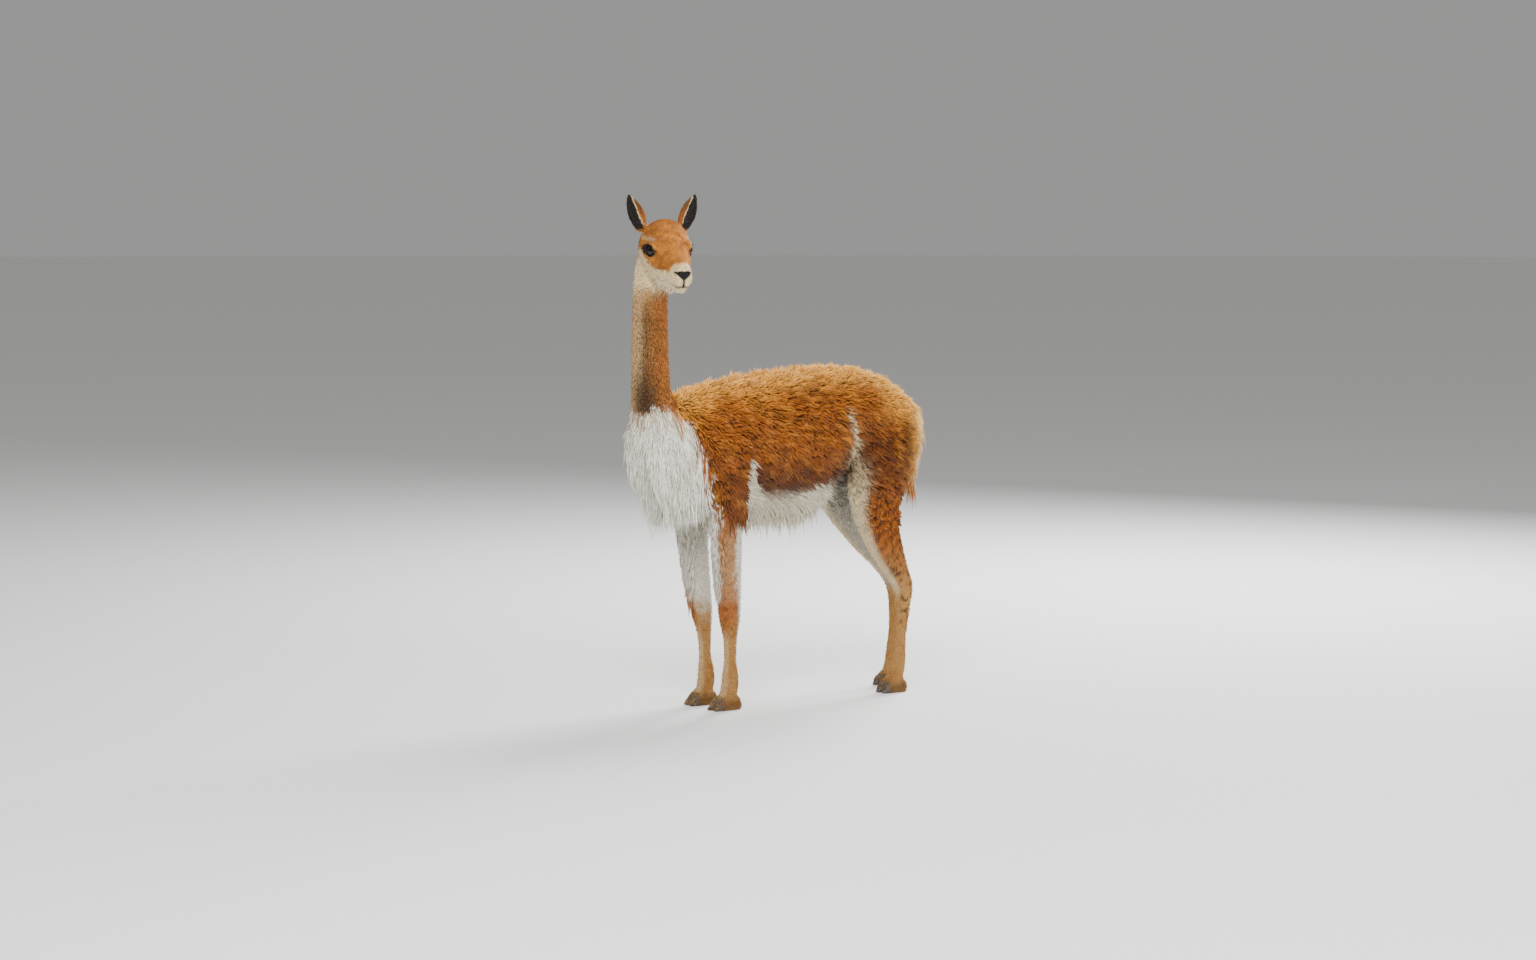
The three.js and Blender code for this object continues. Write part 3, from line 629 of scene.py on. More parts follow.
def neck_colours(points, normals):
    z = points[:, 2]
    front = -normals[:, 0]
    left = -normals[:, 1]
    colour = mixed(np.broadcast_to(CINNAMON, points.shape), RUST, 0.2 + 0.4 * ramp(-0.4, 1, waves(points, 50, 11)))
    colour = mixed(colour, FAWN, 0.2 + 0.55 * ramp(0.1, 0.85, front + 0.12 * waves(points, 40, 12)))
    brown = np.exp(-((left - 0.55) / 0.34) ** 2) * ramp(-0.2, 0.3, front)
    colour = mixed(colour, UMBER, 0.6 * brown * ramp(1130, 1060, z))
    colour = mixed(colour, CREAM, 0.3 * ramp(0.72, 1, front))
    colour = mixed(colour, CREAM, 0.65 * ramp(1100, 1162, z) * ramp(-0.35, 0.3, front + 0.5 * left))
    base = ramp(960, 850, z) * ramp(-0.1, 0.5, front) * np.exp(-((points[:, 1] + 22) / 34) ** 2)
    colour = mixed(colour, UMBER, 0.85 * base)
    rise = 30 * ramp(-16, -50, points[:, 1]) + 34 * ramp(0, 30, points[:, 1])
    bib = ramp(802 + rise, 776 + rise, z + 8 * waves(points, 26, 13)) * ramp(0, 0.5, front + 0.5 * np.abs(left))
    return mixed(colour, WHITE, bib)


def nose_half(up):
    """Half the width of the bare nose at each height, down to the split of the lip."""
    return np.where(up < -87, 0, np.maximum(23 - 1.1 * np.maximum(-50 - up, 0), 3.4))


def head_colours(points, normals):
    h = to_head(points)
    ahead, side, up = h[:, 0], np.abs(h[:, 1]), h[:, 2]
    colour = mixed(np.broadcast_to(CINNAMON, points.shape), GOLD, 0.45 + 0.3 * waves(points, 30, 21))
    colour = mixed(colour, CINNAMON, 0.6 * ramp(50, 76, up) * ramp(20, -40, ahead))
    colour = mixed(colour, GOLD, 0.5 * np.exp(-(side / 16) ** 2) * ramp(20, 60, ahead))
    colour = mixed(colour, RUST, 0.4 * np.exp(-((ahead - 88) / 16) ** 2 - (side / 14) ** 2) * ramp(-40, -20, up))
    pale_edge = np.interp(ahead, PALE_EDGE[:, 0], PALE_EDGE[:, 1]) + 3 * waves(points, 16, 22)
    colour = mixed(colour, CREAM, ramp(6, -6, up - pale_edge))
    colour = mixed(colour, WHITE, 0.3 * ramp(-50, -84, up) * ramp(-40, 0, ahead))
    muzzle = ramp(98, 108, ahead + 0.3 * side) * ramp(-24, -32, up)
    colour = mixed(colour, CREAM, 0.9 * muzzle)
    brow = np.exp(-((up - 26 + 0.1 * ahead) / 5) ** 2) * ramp(-56, -36, ahead) * ramp(26, 8, ahead) * ramp(30, 44, side)
    colour = mixed(colour, CREAM, 0.42 * brow)
    spots = np.exp(-((up + 41) / 4) ** 2 - ((ahead - 52) / 20) ** 2) * ramp(24, 34, side)
    colour = mixed(colour, RUST, 0.8 * spots * ramp(-0.5, 0.3, waves(points, 14, 23)))
    lids = np.hypot((ahead - 2) / 27, (up + 1 + 0.12 * ahead) / 15.5) + 0.06 * waves(points, 9, 24)
    colour = mixed(colour, DARK, ramp(1.15, 0.95, lids) * ramp(24, 34, side))
    mouth = np.interp(ahead, MOUTH_LINE[:, 0], MOUTH_LINE[:, 1])
    lips = np.exp(-((up - mouth) / (2 + 1.6 * ramp(84, 106, ahead))) ** 2) * ramp(62, 82, ahead)
    colour = mixed(colour, DARK, lips)
    ear_base = ramp(44, 52, up) * ramp(-44, -54, ahead) * ramp(46, 54, side)
    colour = mixed(colour, ear_colours(points, normals), ear_base)
    nose = ramp(1.5, -1.5, side - nose_half(up)) * ramp(-41, -45, up + 0.15 * side)
    return mixed(colour, NOSE_BLACK, nose * ramp(104, 110, ahead + 0.3 * side))


def ear_colours(points, normals):
    """Nearly black in the cup as painted shade, with a pale line beside it and brown towards the crown."""
    h = to_head(points)
    facing = normals @ HEAD_WAY
    side = np.sign(h[:, 1])
    up = h[:, 2]
    outward = h[:, 1] * side - EAR_AT[1] - (up - EAR_AT[2]) * math.tan(math.radians(EAR_SPLAY))
    outward = outward + 1.3 * waves(points, 14, 25)
    front = np.maximum(ramp(-0.1, 0.35, facing[:, 0]), ramp(6, 12, outward) * ramp(-0.8, -0.3, facing[:, 0]))
    colour = mixed(np.broadcast_to(CINNAMON, points.shape), EAR_BACK, ramp(60, 110, up))
    # Painted shade: the hollow of the cup is nearly black.
    colour = mixed(colour, EAR_CUP_SHADE, front * ramp(-6, -3, outward) * ramp(26, 42, up))
    colour = mixed(colour, CREAM, 0.85 * front * np.exp(-((outward + 6.5) / 1.7) ** 2) * ramp(50, 66, up))
    return mixed(colour, DARK, 0.8 * ramp(126, 138, up))


def leg_colours(points, normals, number):
    z = points[:, 2]
    outer = normals[:, 1] * np.sign(LEG_TABLES[number][0, 2])
    back = normals[:, 0]
    fawn = mixed(np.broadcast_to(FAWN, points.shape), CINNAMON, 0.35 * ramp(0, 1, waves(points, 40, 31)))
    flecks = ramp(0.3, 0.8, waves(points * (1, 1, 0.7), 17, 36))
    if number < 2:
        strip = ramp(0.68, 0.94, 0.91 * outer - 0.4 * back + 0.06 * waves(points, 30, 32))
        strip = np.maximum(strip, ramp(540, 620, z) * ramp(0, 0.5, outer))
        knee = np.exp(-((z - 270) / 54) ** 2) * ramp(0, 0.6, outer * 0.6 - back * 0.7)
        colour = mixed(fawn, WHITE * 0.85, 0.9 * ramp(225, 330, z + 14 * waves(points, 40, 33)))
        colour = mixed(colour, WHITE * 0.85, 0.8 * ramp(0.3, 0.7, back) * ramp(150, 240, z))
        colour = mixed(colour, mixed(fawn, CINNAMON, 0.3), 0.9 * strip * ramp(250, 330, z))
        colour = mixed(colour, CINNAMON, 0.85 * strip * ramp(440, 530, z))
        colour = mixed(colour, CINNAMON, 0.95 * knee)
        colour = mixed(colour, UMBER, 0.5 * flecks * knee)
        colour = mixed(colour, CREAM, 0.4 * ramp(0.5, 0.95, -back) * ramp(230, 180, z))
    else:
        orange = ramp(-0.3, 0.25, outer * 0.9 + 0.75 * back + 0.15 * waves(points, 34, 34)) * ramp(250, 460, z)
        colour = mixed(fawn, WHITE * 0.9, 0.9 * ramp(280, 400, z) * ramp(0.2, -0.3, outer))
        rusty = mixed(np.broadcast_to(CINNAMON, points.shape), RUST, ramp(-0.3, 0.7, waves(points, 28, 35)))
        colour = mixed(colour, rusty, orange)
        colour = mixed(colour, UMBER, 0.75 * flecks * ramp(0.2, 0.8, outer + 0.3 * back) * ramp(140, 230, z))
        colour = mixed(colour, mixed(CREAM, GREY, 0.4), 0.9 * ramp(-0.3, -0.66, back) * ramp(250, 320, z))
        colour = mixed(colour, CREAM, 0.6 * ramp(0.6, 0.9, back) * ramp(180, 230, z) * ramp(420, 360, z))
        colour = mixed(colour, GREY, 0.75 * ramp(-0.2, -0.6, outer) * ramp(240, 340, z))
    return mixed(colour, UMBER, 0.6 * ramp(46, 18, z))


def tail_colours(points, normals):
    colour = mixed(np.broadcast_to(CINNAMON, points.shape), GOLD, 0.6 * ramp(0, 1, waves(points, 30, 41)))
    return mixed(colour, CREAM, 0.7 * ramp(-0.2, 0.7, normals[:, 0] + 0.6 * np.abs(normals[:, 1])))


def markings(points, normals, parts):
    """The colour of the coat at each point."""
    colour = np.zeros(points.shape)
    for number in range(len(PARTS)):
        own = parts == number
        if not own.any():
            continue
        p, n = points[own], normals[own]
        if number == TRUNK_PART:
            colour[own] = trunk_colours(p, n)
        elif number == NECK_PART:
            colour[own] = neck_colours(p, n)
        elif number == HEAD_PART:
            colour[own] = head_colours(p, n)
        elif number == TAIL_PART:
            colour[own] = tail_colours(p, n)
        elif number >= EAR_PART:
            colour[own] = ear_colours(p, n)
        else:
            colour[own] = leg_colours(p, n, number - 3)
    return blended_seams(points, normals, parts, colour)


def blended_seams(points, normals, parts, colour):
    """Eases the leg and neck markings into the trunk's where they meet."""
    z = points[:, 2]
    trunk = trunk_colours(points, normals)
    for number, low, high in ((3, 500, 545), (4, 500, 545), (5, 560, 640), (6, 560, 640)):
        own = parts == number
        colour[own] = mixed(colour[own], trunk[own], ramp(low, high, z[own]))
    own = parts == NECK_PART
    colour[own] = mixed(colour[own], trunk[own], ramp(884, 868, z[own]) * ramp(-0.2, 0.3, normals[own, 0]))
    own = parts == HEAD_PART
    below = ramp(1150, 1118, z[own]) * ramp(50, 10, to_head(points[own])[:, 0])
    colour[own] = mixed(colour[own], neck_colours(points[own], normals[own]), below)
    return colour


def lie_of(points):
    """The way the hair points at each place: back and down the trunk, down the limbs, back over the head."""
    x, y, z = points.T
    count = len(points)
    down = np.broadcast_to(np.array((0.06, 0, -1.0)), (count, 3))
    s = along(TRUNK, share_at(TRUNK, x))
    beside = np.clip(np.abs(y) / s[:, 3], 0, 1)
    swirl = 0.35 * waves(points, 120, 51)
    trunk = np.stack([np.full(count, 0.9), 0.25 * waves(points, 70, 52), -0.12 - 0.95 * beside**1.6 + swirl * 0.4], 1)
    bib = np.interp(z, BIB_EDGE[:, 0], BIB_EDGE[:, 1])
    way = mixed(trunk, down, np.maximum(ramp(46, 6, x - bib), ramp(270, 350, x)))
    way = mixed(way, down, ramp(560, 500, z))
    way = np.where((z > 868)[:, None] & (x < -400)[:, None], down, way)
    h = to_head(points)
    head = (z > 1110) & (h[:, 0] > -104)
    cheek = ramp(0, -70, h[:, 2])
    over = np.stack([-np.ones(count), 0.15 * np.sign(h[:, 1]), 0.15 - 0.75 * cheek], 1) @ HEAD_WAY.T
    way = np.where(head[:, None], mixed(down, over, ramp(1112, 1150, z)), way)
    side = np.where(h[:, 1] > 0, 1, -1)
    ear_up = np.stack([0 * x, side * math.sin(math.radians(EAR_SPLAY)), np.ones(count)], 1) @ HEAD_WAY.T
    ear = head & (h[:, 2] > 66) & (np.abs(h[:, 1]) > 44) & (h[:, 0] < -30)
    return unit(np.where(ear[:, None], ear_up, way))


# Making the coat


def nearest_on_skin(points):
    """The nearest places on the skin and the ways out there."""
    places = np.empty(points.shape)
    faces = np.empty(len(points), int)
    find = SKIN.tree.find_nearest
    for k, p in enumerate(points.tolist()):
        place, _, face, _ = find(p)
        places[k] = place
        faces[k] = face
    return places, SKIN.face_ways[faces]


def roots_over(weight, count, draw):
    """Roots spread evenly over the skin, as dense as the weight of each face."""
    share = SKIN.areas * weight
    total = np.cumsum(share)
    if total[-1] <= 0:
        raise RuntimeError("no skin to root this coat in")
    picks = np.searchsorted(total, (np.arange(count) + draw.random(count)) / count * total[-1])
    faces = np.minimum(picks, len(share) - 1)
    a, b = draw.random((2, count))
    flip = a + b > 1
    a[flip], b[flip] = 1 - a[flip], 1 - b[flip]
    corners = SKIN.points[SKIN.faces[faces]]
    ways = SKIN.normals[SKIN.faces[faces]]
    c = np.stack([1 - a - b, a, b], 1)[:, :, None]
    return (corners * c).sum(1), unit((ways * c).sum(1)), SKIN.parts[faces]


def combed(roots, ways_out, length, lift, steps, sink, hang):
    """Paths of tufts that follow the lie, keep clear of the skin and hang where the body turns under."""
    path = [roots - ways_out * sink]
    p, out = roots.copy(), ways_out
    stride = (length / steps)[:, None]
    for k in range(1, steps + 1):
        way = lie_of(p)
        cling = ramp(-0.95, -0.2, out[:, 2]) * (1 - hang)
        inward = (way * out).sum(1)
        way = way - out * np.where(inward < 0, inward, inward * cling)[:, None]
        p = p + unit(way) * stride
        place, out = nearest_on_skin(p)
        height = ((p - place) * out).sum(1)
        wanted = lift * (k / steps) ** 0.7
        astray = height - wanted
        p = p + out * np.where(astray < 0, -astray, -astray * cling * 0.7)[:, None]
        path.append(p)
    return np.stack(path)


def tufts(name, paths, ways_out, width, thick, parts, roots, shade, taper, parting_shade=0.0):
    """One mesh of closed three-sided tufts, with their markings and their patches on the unwrap."""
    steps, count = paths.shape[0] - 1, paths.shape[1]
    run = unit(np.gradient(paths, axis=0))
    across = unit(np.cross(run, ways_out[None]))
    outward = np.cross(across, run)
    angles = np.array((-2.6, -0.54, 1.57))
    points, shares, turns = [], [], []
    for i in range(steps):
        half = (taper[i] * width / 2)[:, None]
        for k, angle in enumerate(angles):
            points.append(paths[i] + across[i] * half * math.cos(angle) + outward[i] * half * thick * math.sin(angle))
            shares.append(np.full(count, i / steps))
            turns.append(np.full(count, k / 3))
    points.append(paths[steps])
    shares.append(np.ones(count))
    turns.append(np.full(count, 0.5))
    per = len(points)
    points = np.stack(points, 1)
    shares = np.stack(shares, 1)
    turns = np.stack(turns, 1)
    pattern = [(0, 1, 2)]
    for i in range(steps - 1):
        for k in range(3):
            a, b = 3 * i + k, 3 * i + (k + 1) % 3
            pattern += [(a, a + 3, b + 3), (a, b + 3, b)]
    last = 3 * (steps - 1)
    pattern += [(last + k, per - 1, last + (k + 1) % 3) for k in range(3)]
    triangles = (np.array(pattern)[None] + per * np.arange(count)[:, None, None]).reshape(-1, 3)
    colours = markings(roots, ways_out, parts)
    colours = colours[:, None, :] * shade(shares, count)[..., None]
    # Painted shade: the points of a tuft that lie in a parting between clumps are darkened.
    if parting_shade:
        colours *= (1 - parting_shade * cracks(points.reshape(-1, 3))).reshape(count, per, 1)
    corner, _ = chart_places(roots, parts)
    patch = corner[:, None, :] + TUFT_PATCH * (np.stack([shares, turns], 2) - 0.5)
    return mesh_of(name, points.reshape(-1, 3), triangles, colours.reshape(-1, 3), patch.reshape(-1, 2))


def mesh_of(name, points, triangles, colours, places):
    """A mesh object from arrays, with a colour at each point and the map named OFBake."""
    mesh = bpy.data.meshes.new(name)
    mesh.vertices.add(len(points))
    mesh.vertices.foreach_set("co", own_to_row(points).astype(np.float32).ravel())
    mesh.loops.add(len(triangles) * 3)
    mesh.loops.foreach_set("vertex_index", triangles.astype(np.int32).ravel())
    mesh.polygons.add(len(triangles))
    mesh.polygons.foreach_set("loop_start", (np.arange(len(triangles)) * 3).astype(np.int32))
    mesh.update(calc_edges=True)
    give_attributes(mesh, colours, places[triangles.ravel()])
    made = bpy.data.objects.new(name, mesh)
    bpy.context.collection.objects.link(made)
    return made


def give_attributes(mesh, colours, corner_places):
    full = np.ones((len(colours), 4), np.float32)
    full[:, :3] = np.clip(colours, 0, 1)
    mesh.color_attributes.new("markings", "FLOAT_COLOR", "POINT").data.foreach_set("color", full.ravel())
    mesh.uv_layers.new(name="OFBake").data.foreach_set("uv", corner_places.astype(np.float32).ravel())


def fewer(count):
    return count


def wider(width):
    return width


def finished(piece, material, slot, *nodes):
    """Gives a piece its material and body, and hides the solids that it stands for."""
    piece.data.materials.clear()
    piece.data.materials.append(material)
    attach(piece, "root")
    if nodes:
        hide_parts(*nodes)
    return piece


def clump_pull(points, size, stretch, seed):
    """The way from each place to the middle of its clump, longest halfway out."""
    step = size / 20
    pull = np.empty(points.shape)
    for k in range(3):
        aside = np.eye(3)[k] * step
        rise = waves((points + aside) * stretch, size, seed) - waves((points - aside) * stretch, size, seed)
        pull[:, k] = rise * size / (4 * np.pi * step)
    return pull


def coat_piece(name, slot, seed, weight, count, length, width, lift, steps=3, sink=3, hang=0.0, thick=0.7,
               spread=0.25, taper=(0.7, 1.0, 0.72, 0.5), root_shade=0.62, tip_shade=1.12, clump=None, mottle=0.0,
               parting_shade=0.0):
    """Grows one piece of coat. length, width and lift are millimetres, or functions of the roots and their parts.
    clump gives the size of its clumps, their stretch, and how far their tips are drawn together."""
    draw = np.random.default_rng(seed)
    roots, ways_out, parts = roots_over(weight, fewer(count), draw)
    size = np.exp(draw.normal(0, spread, len(roots)))

    def sized(value):
        return value(roots, parts) if callable(value) else np.full(len(roots), float(value))

    long = sized(length) * np.clip(size, 0.5, 1.7)
    rise = sized(lift) * draw.uniform(0.5, 1.25, len(roots))
    broad = wider(sized(width)) * draw.uniform(0.8, 1.2, len(roots))
    paths = combed(roots, ways_out, long, rise, steps, sink, hang)
    stray = draw.normal(0, 1, (len(roots), 3)) * (0.05 * long)[:, None]
    if clump:
        size_across, stretch, drawn = clump
        stray += clump_pull(roots, size_across, stretch, seed) * drawn
    paths += stray[None] * (np.arange(steps + 1) / steps)[:, None, None] ** 2
    paths[:, :, 2] = np.maximum(paths[:, :, 2], 3)
    tone = draw.normal(1, 0.09, len(roots)) + mottle * waves(roots * (0.6, 1, 1), 15, seed + 1)

    # Painted shade: each tuft is darker towards its root, deep in the coat, and paler towards its tip.
    def shade(shares, count):
        return (root_shade + (tip_shade - root_shade) * shares**0.8) * tone[:, None]

    made = tufts(name, paths, ways_out, broad, thick, parts, roots, shade, taper, parting_shade)
    return finished(made, coat_material(), slot)


def face_weight(test):
    """Which faces of the skin carry a coat: a function of their middles, ways out and parts."""
    return np.asarray(test(SKIN.middles, SKIN.face_ways, SKIN.parts), float)


def before_edge(p):
    return p[:, 0] < np.interp(p[:, 2], BIB_EDGE[:, 0], BIB_EDGE[:, 1]) + 6


def bib_share(p):
    return before_edge(p) & (p[:, 2] < 812)


def down_leg(p, parts):
    """0 at the top of each leg and 1 where the fleece ends on it."""
    fore = ramp(620, 540, p[:, 2]) * ((parts == 3) | (parts == 4))
    hind = ramp(620, 490, p[:, 2]) * ((parts == 5) | (parts == 6))
    return np.maximum(fore, hind)


# Materials


def nodes_of(name):
    material = bpy.data.materials.new(name)
    material.use_nodes = True
    tree = material.node_tree
    return material, tree, tree.nodes["Principled BSDF"]


def object_noise(tree, scale, detail=4.0, roughness=0.6):
    """Noise that is fixed to the piece."""
    place = tree.nodes.new("ShaderNodeTexCoord")
    noise = tree.nodes.new("ShaderNodeTexNoise")
    noise.inputs["Scale"].default_value = scale
    noise.inputs["Detail"].default_value = detail
    noise.inputs["Roughness"].default_value = roughness
    tree.links.new(place.outputs["Object"], noise.inputs["Vector"])
    return noise.outputs["Fac"]


def mapped(tree, value, low, high, to_low, to_high):
    node = tree.nodes.new("ShaderNodeMapRange")
    for key, number in zip(("From Min", "From Max", "To Min", "To Max"), (low, high, to_low, to_high)):
        node.inputs[key].default_value = number
    tree.links.new(value, node.inputs["Value"])
    return node.outputs["Result"]


def times(tree, colour, factor):
    """A colour made lighter or darker by a factor."""
    node = tree.nodes.new("ShaderNodeVectorMath")
    node.operation = "SCALE"
    tree.links.new(colour, node.inputs[0])
    tree.links.new(factor, node.inputs["Scale"])
    return node.outputs["Vector"]


def bumped(tree, shader, height, strength, distance):
    node = tree.nodes.new("ShaderNodeBump")
    node.inputs["Strength"].default_value = strength
    node.inputs["Distance"].default_value = distance
    tree.links.new(height, node.inputs["Height"])
    tree.links.new(node.outputs["Normal"], shader.inputs["Normal"])


def marked_material(name, fine, low, high, roughness, sheen, bump):
    """Hair or skin in the animal's own markings, with a finer mottle over them."""
    material = bpy.data.materials.get(name)
    if material:
        return material
    material, tree, shader = nodes_of(name)
    marks = tree.nodes.new("ShaderNodeAttribute")
    marks.attribute_name = "markings"
    mottle = mapped(tree, object_noise(tree, fine), 0.3, 0.7, low, high)
    tree.links.new(times(tree, marks.outputs["Color"], mottle), shader.inputs["Base Color"])
    shader.inputs["Roughness"].default_value = roughness
    shader.inputs["Specular IOR Level"].default_value = 0.25
    shader.inputs["Sheen Weight"].default_value = sheen
    shader.inputs["Sheen Roughness"].default_value = 0.5
    bumped(tree, shader, object_noise(tree, bump, 3), 0.35, 0.0015)
    return material


def coat_material():
    return marked_material("Vicuna fleece and hair", 160, 0.78, 1.2, 0.85, 0.06, 420)


def skin_material():
    return marked_material("Vicuna short hair and skin", 240, 0.82, 1.12, 0.8, 0.04, 700)


def eye_material():
    """A dark brown eye with a wide level pupil under a wet surface."""
    material, tree, shader = nodes_of("Dark wet eye")
    marks = tree.nodes.new("ShaderNodeAttribute")
    marks.attribute_name = "markings"
    fibres = mapped(tree, object_noise(tree, 900, 5), 0.3, 0.7, 0.7, 1.25)
    tree.links.new(times(tree, marks.outputs["Color"], fibres), shader.inputs["Base Color"])
    shader.inputs["Roughness"].default_value = 0.06
    shader.inputs["Specular IOR Level"].default_value = 0.22
    shader.inputs["Coat Weight"].default_value = 0.15
    shader.inputs["Coat Roughness"].default_value = 0.02
    return material


def nail_material():
    """Dull dark horn, mottled between a darker and a paler brown."""
    material, tree, shader = nodes_of("Dark horn")
    streaks = mapped(tree, object_noise(tree, 260, 5), 0.3, 0.7, 0, 1)
    ramp_node = tree.nodes.new("ShaderNodeValToRGB")
    ramp_node.color_ramp.elements[0].color = (*linear(38, 32, 29), 1)
    ramp_node.color_ramp.elements[1].color = (*linear(92, 78, 66), 1)
    tree.links.new(streaks, ramp_node.inputs["Fac"])
    tree.links.new(ramp_node.outputs["Color"], shader.inputs["Base Color"])
    shader.inputs["Roughness"].default_value = 0.45
    bumped(tree, shader, object_noise(tree, 520, 4), 0.3, 0.0008)
    return material


def floor_material(colour):
    material, tree, shader = nodes_of("Pale matt floor")
    shader.inputs["Base Color"].default_value = (*colour, 1)
    shader.inputs["Roughness"].default_value = 0.9
    shader.inputs["Specular IOR Level"].default_value = 0.2
    return material


# What a user may change


class VicunaSizes(bpy.types.PropertyGroup):
    trunk_coat: bpy.props.FloatProperty(
        name="Trunk coat", description="Depth of the dense coat over the trunk's skin",
        default=0.018, min=0.005, max=0.04, subtype="DISTANCE", unit="LENGTH")
    leg_coat: bpy.props.FloatProperty(
        name="Leg and neck coat", description="Depth of the short coat over the legs and neck",
        default=0.005, min=0.002, max=0.02, subtype="DISTANCE", unit="LENGTH")
    head_coat: bpy.props.FloatProperty(
        name="Head coat", description="Depth of the short hair over the head",
        default=0.0025, min=0.001, max=0.01, subtype="DISTANCE", unit="LENGTH")
    fleece_length: bpy.props.FloatProperty(
        name="Fleece length", description="Length of the tufts of fleece on the back and flanks",
        default=0.021, min=0.01, max=0.08, subtype="DISTANCE", unit="LENGTH")
    bib_length: bpy.props.FloatProperty(
        name="Bib length", description="Length of the longest white hair on the breast",
        default=0.11, min=0.04, max=0.25, subtype="DISTANCE", unit="LENGTH")
    fringe_length: bpy.props.FloatProperty(
        name="Fringe length", description="Length of the hair that hangs under the belly",
        default=0.055, min=0.02, max=0.15, subtype="DISTANCE", unit="LENGTH")


def colour_property(name, description, colour):
    return bpy.props.FloatVectorProperty(
        name=name, description=description, default=colour.tolist(), size=3, min=0, max=1, subtype="COLOR")


class VicunaColours(bpy.types.PropertyGroup):
    gold: colour_property("Gold", "The lighter fleece of the back and the face", GOLD)
    # The pale gold paints light on fleece that faces up and on the backlit rump, and it also lightens the hip.
    sunlit: colour_property("Pale gold", "The bleached tips along the top of the back", SUNLIT)
    cinnamon: colour_property("Cinnamon", "The fleece of the flanks, neck and legs", CINNAMON)
    rust: colour_property("Rust", "The deeper fleece low on the flanks and thighs", RUST)
    # Umber also paints the shade in the partings of the fleece and low on the flanks.
    umber: colour_property("Umber", "The dark partings, flecks and the base of the neck", UMBER)
    fawn: colour_property("Fawn", "The short hair of the lower legs and the front of the neck", FAWN)
    cream: colour_property("Cream", "The cheeks, muzzle and the front of the thighs", CREAM)
    white: colour_property("White", "The bib and the belly", WHITE)


def take_colours(colours):
    """Puts the chosen colours where the markings read them."""
    chosen = (colours.gold, colours.sunlit, colours.cinnamon, colours.rust, colours.umber, colours.fawn,
              colours.cream, colours.white)
    for kept, colour in zip((GOLD, SUNLIT, CINNAMON, RUST, UMBER, FAWN, CREAM, WHITE), chosen):
        kept[:] = colour


class VicunaStage(bpy.types.PropertyGroup):
    floor_colour: bpy.props.FloatVectorProperty(
        name="Floor colour", description="Colour of the floor and of the light all round",
        default=(0.93, 0.925, 0.915), size=3, min=0, max=1, subtype="COLOR")
    key_power: bpy.props.FloatProperty(
        name="Main light", description="Power of the large soft light in watts",
        default=500, min=0, max=3000)
    lens: bpy.props.FloatProperty(
        name="Lens", description="Focal length of the camera on a 36 mm wide sensor",
        default=78.4, min=10, max=300)
    distance: bpy.props.FloatProperty(
        name="Distance", description="From the camera to the place that it looks at",
        default=9, min=1, max=50, subtype="DISTANCE", unit="LENGTH")


# The operators, one for each piece or group of like pieces


class VICUNA_OT_skin(bpy.types.Operator):
    """Model the whole skin, without its coat, and give it its markings"""

    bl_idname = "vicuna.skin"
    bl_label = "Skin"

    def execute(self, context):
        sizes = context.scene.vicuna_sizes
        take_colours(context.scene.vicuna_colours)
        pieces = [body_skin(sizes), head_skin(sizes), *(foot_skin(table) for table in LEG_TABLES)]
        skin = joined(pieces)
        skin.name = "skin"
        skin.data.name = "skin"
        own = coordinates(skin)
        remember_skin(skin, own)
        set_coordinates(skin, own_to_row(own))
        # Painted shade: the skin is painted darker than the coat's markings, as the shade under the hair between the
        # tufts.
        colours = markings(own, SKIN.normals, parts_of(own)) * 0.76
        for layer in list(skin.data.uv_layers):
            skin.data.uv_layers.remove(layer)
        give_attributes(skin.data, colours, skin_unwrap(skin, own))
        flesh = ["head", "neck", "chest", "torso", "tail", "ear_left", "ear_right", *(f"leg_{n}" for n in LEGS)]
        finished(skin, skin_material(), "face", *flesh)
        return {"FINISHED"}


def remember_skin(skin, own):
    """Keeps the skin as arrays, with every face split into triangles."""
    mesh = skin.data
    mesh.calc_loop_triangles()
    faces = np.zeros(len(mesh.loop_triangles) * 3, np.int32)
    mesh.loop_triangles.foreach_get("vertices", faces)
    SKIN.faces = faces.reshape(-1, 3)
    SKIN.points = own
    normals = np.zeros(len(own) * 3)
    mesh.vertices.foreach_get("normal", normals)
    SKIN.normals = normals.reshape(-1, 3)
    a, b, c = (own[SKIN.faces[:, k]] for k in range(3))
    SKIN.areas = np.linalg.norm(np.cross(b - a, c - a), axis=1) / 2
    SKIN.middles = (a + b + c) / 3
    SKIN.face_ways = unit(SKIN.normals[SKIN.faces].sum(1))
    SKIN.parts = parts_of(SKIN.middles)
    SKIN.tree = BVHTree.FromPolygons(own.tolist(), SKIN.faces.tolist())
    print("skin triangles", len(SKIN.faces))


def skin_unwrap(skin, own):
    """The skin's own unwrap: each part round and along itself, with no face split over a patch's edge."""
    mesh = skin.data
    loops = np.zeros(len(mesh.loops), np.int32)
    mesh.loops.foreach_get("vertex_index", loops)
    sizes = np.zeros(len(mesh.polygons), np.int32)
    mesh.polygons.foreach_get("loop_total", sizes)
    starts = np.concatenate([[0], np.cumsum(sizes)[:-1]])
    middles = np.add.reduceat(own[loops], starts, axis=0) / sizes[:, None]
    parts = parts_of(middles)
    _, angles = chart_places(middles, parts)
    places, _ = chart_places(own[loops], None, np.repeat(angles, sizes), np.repeat(parts, sizes))
    return places


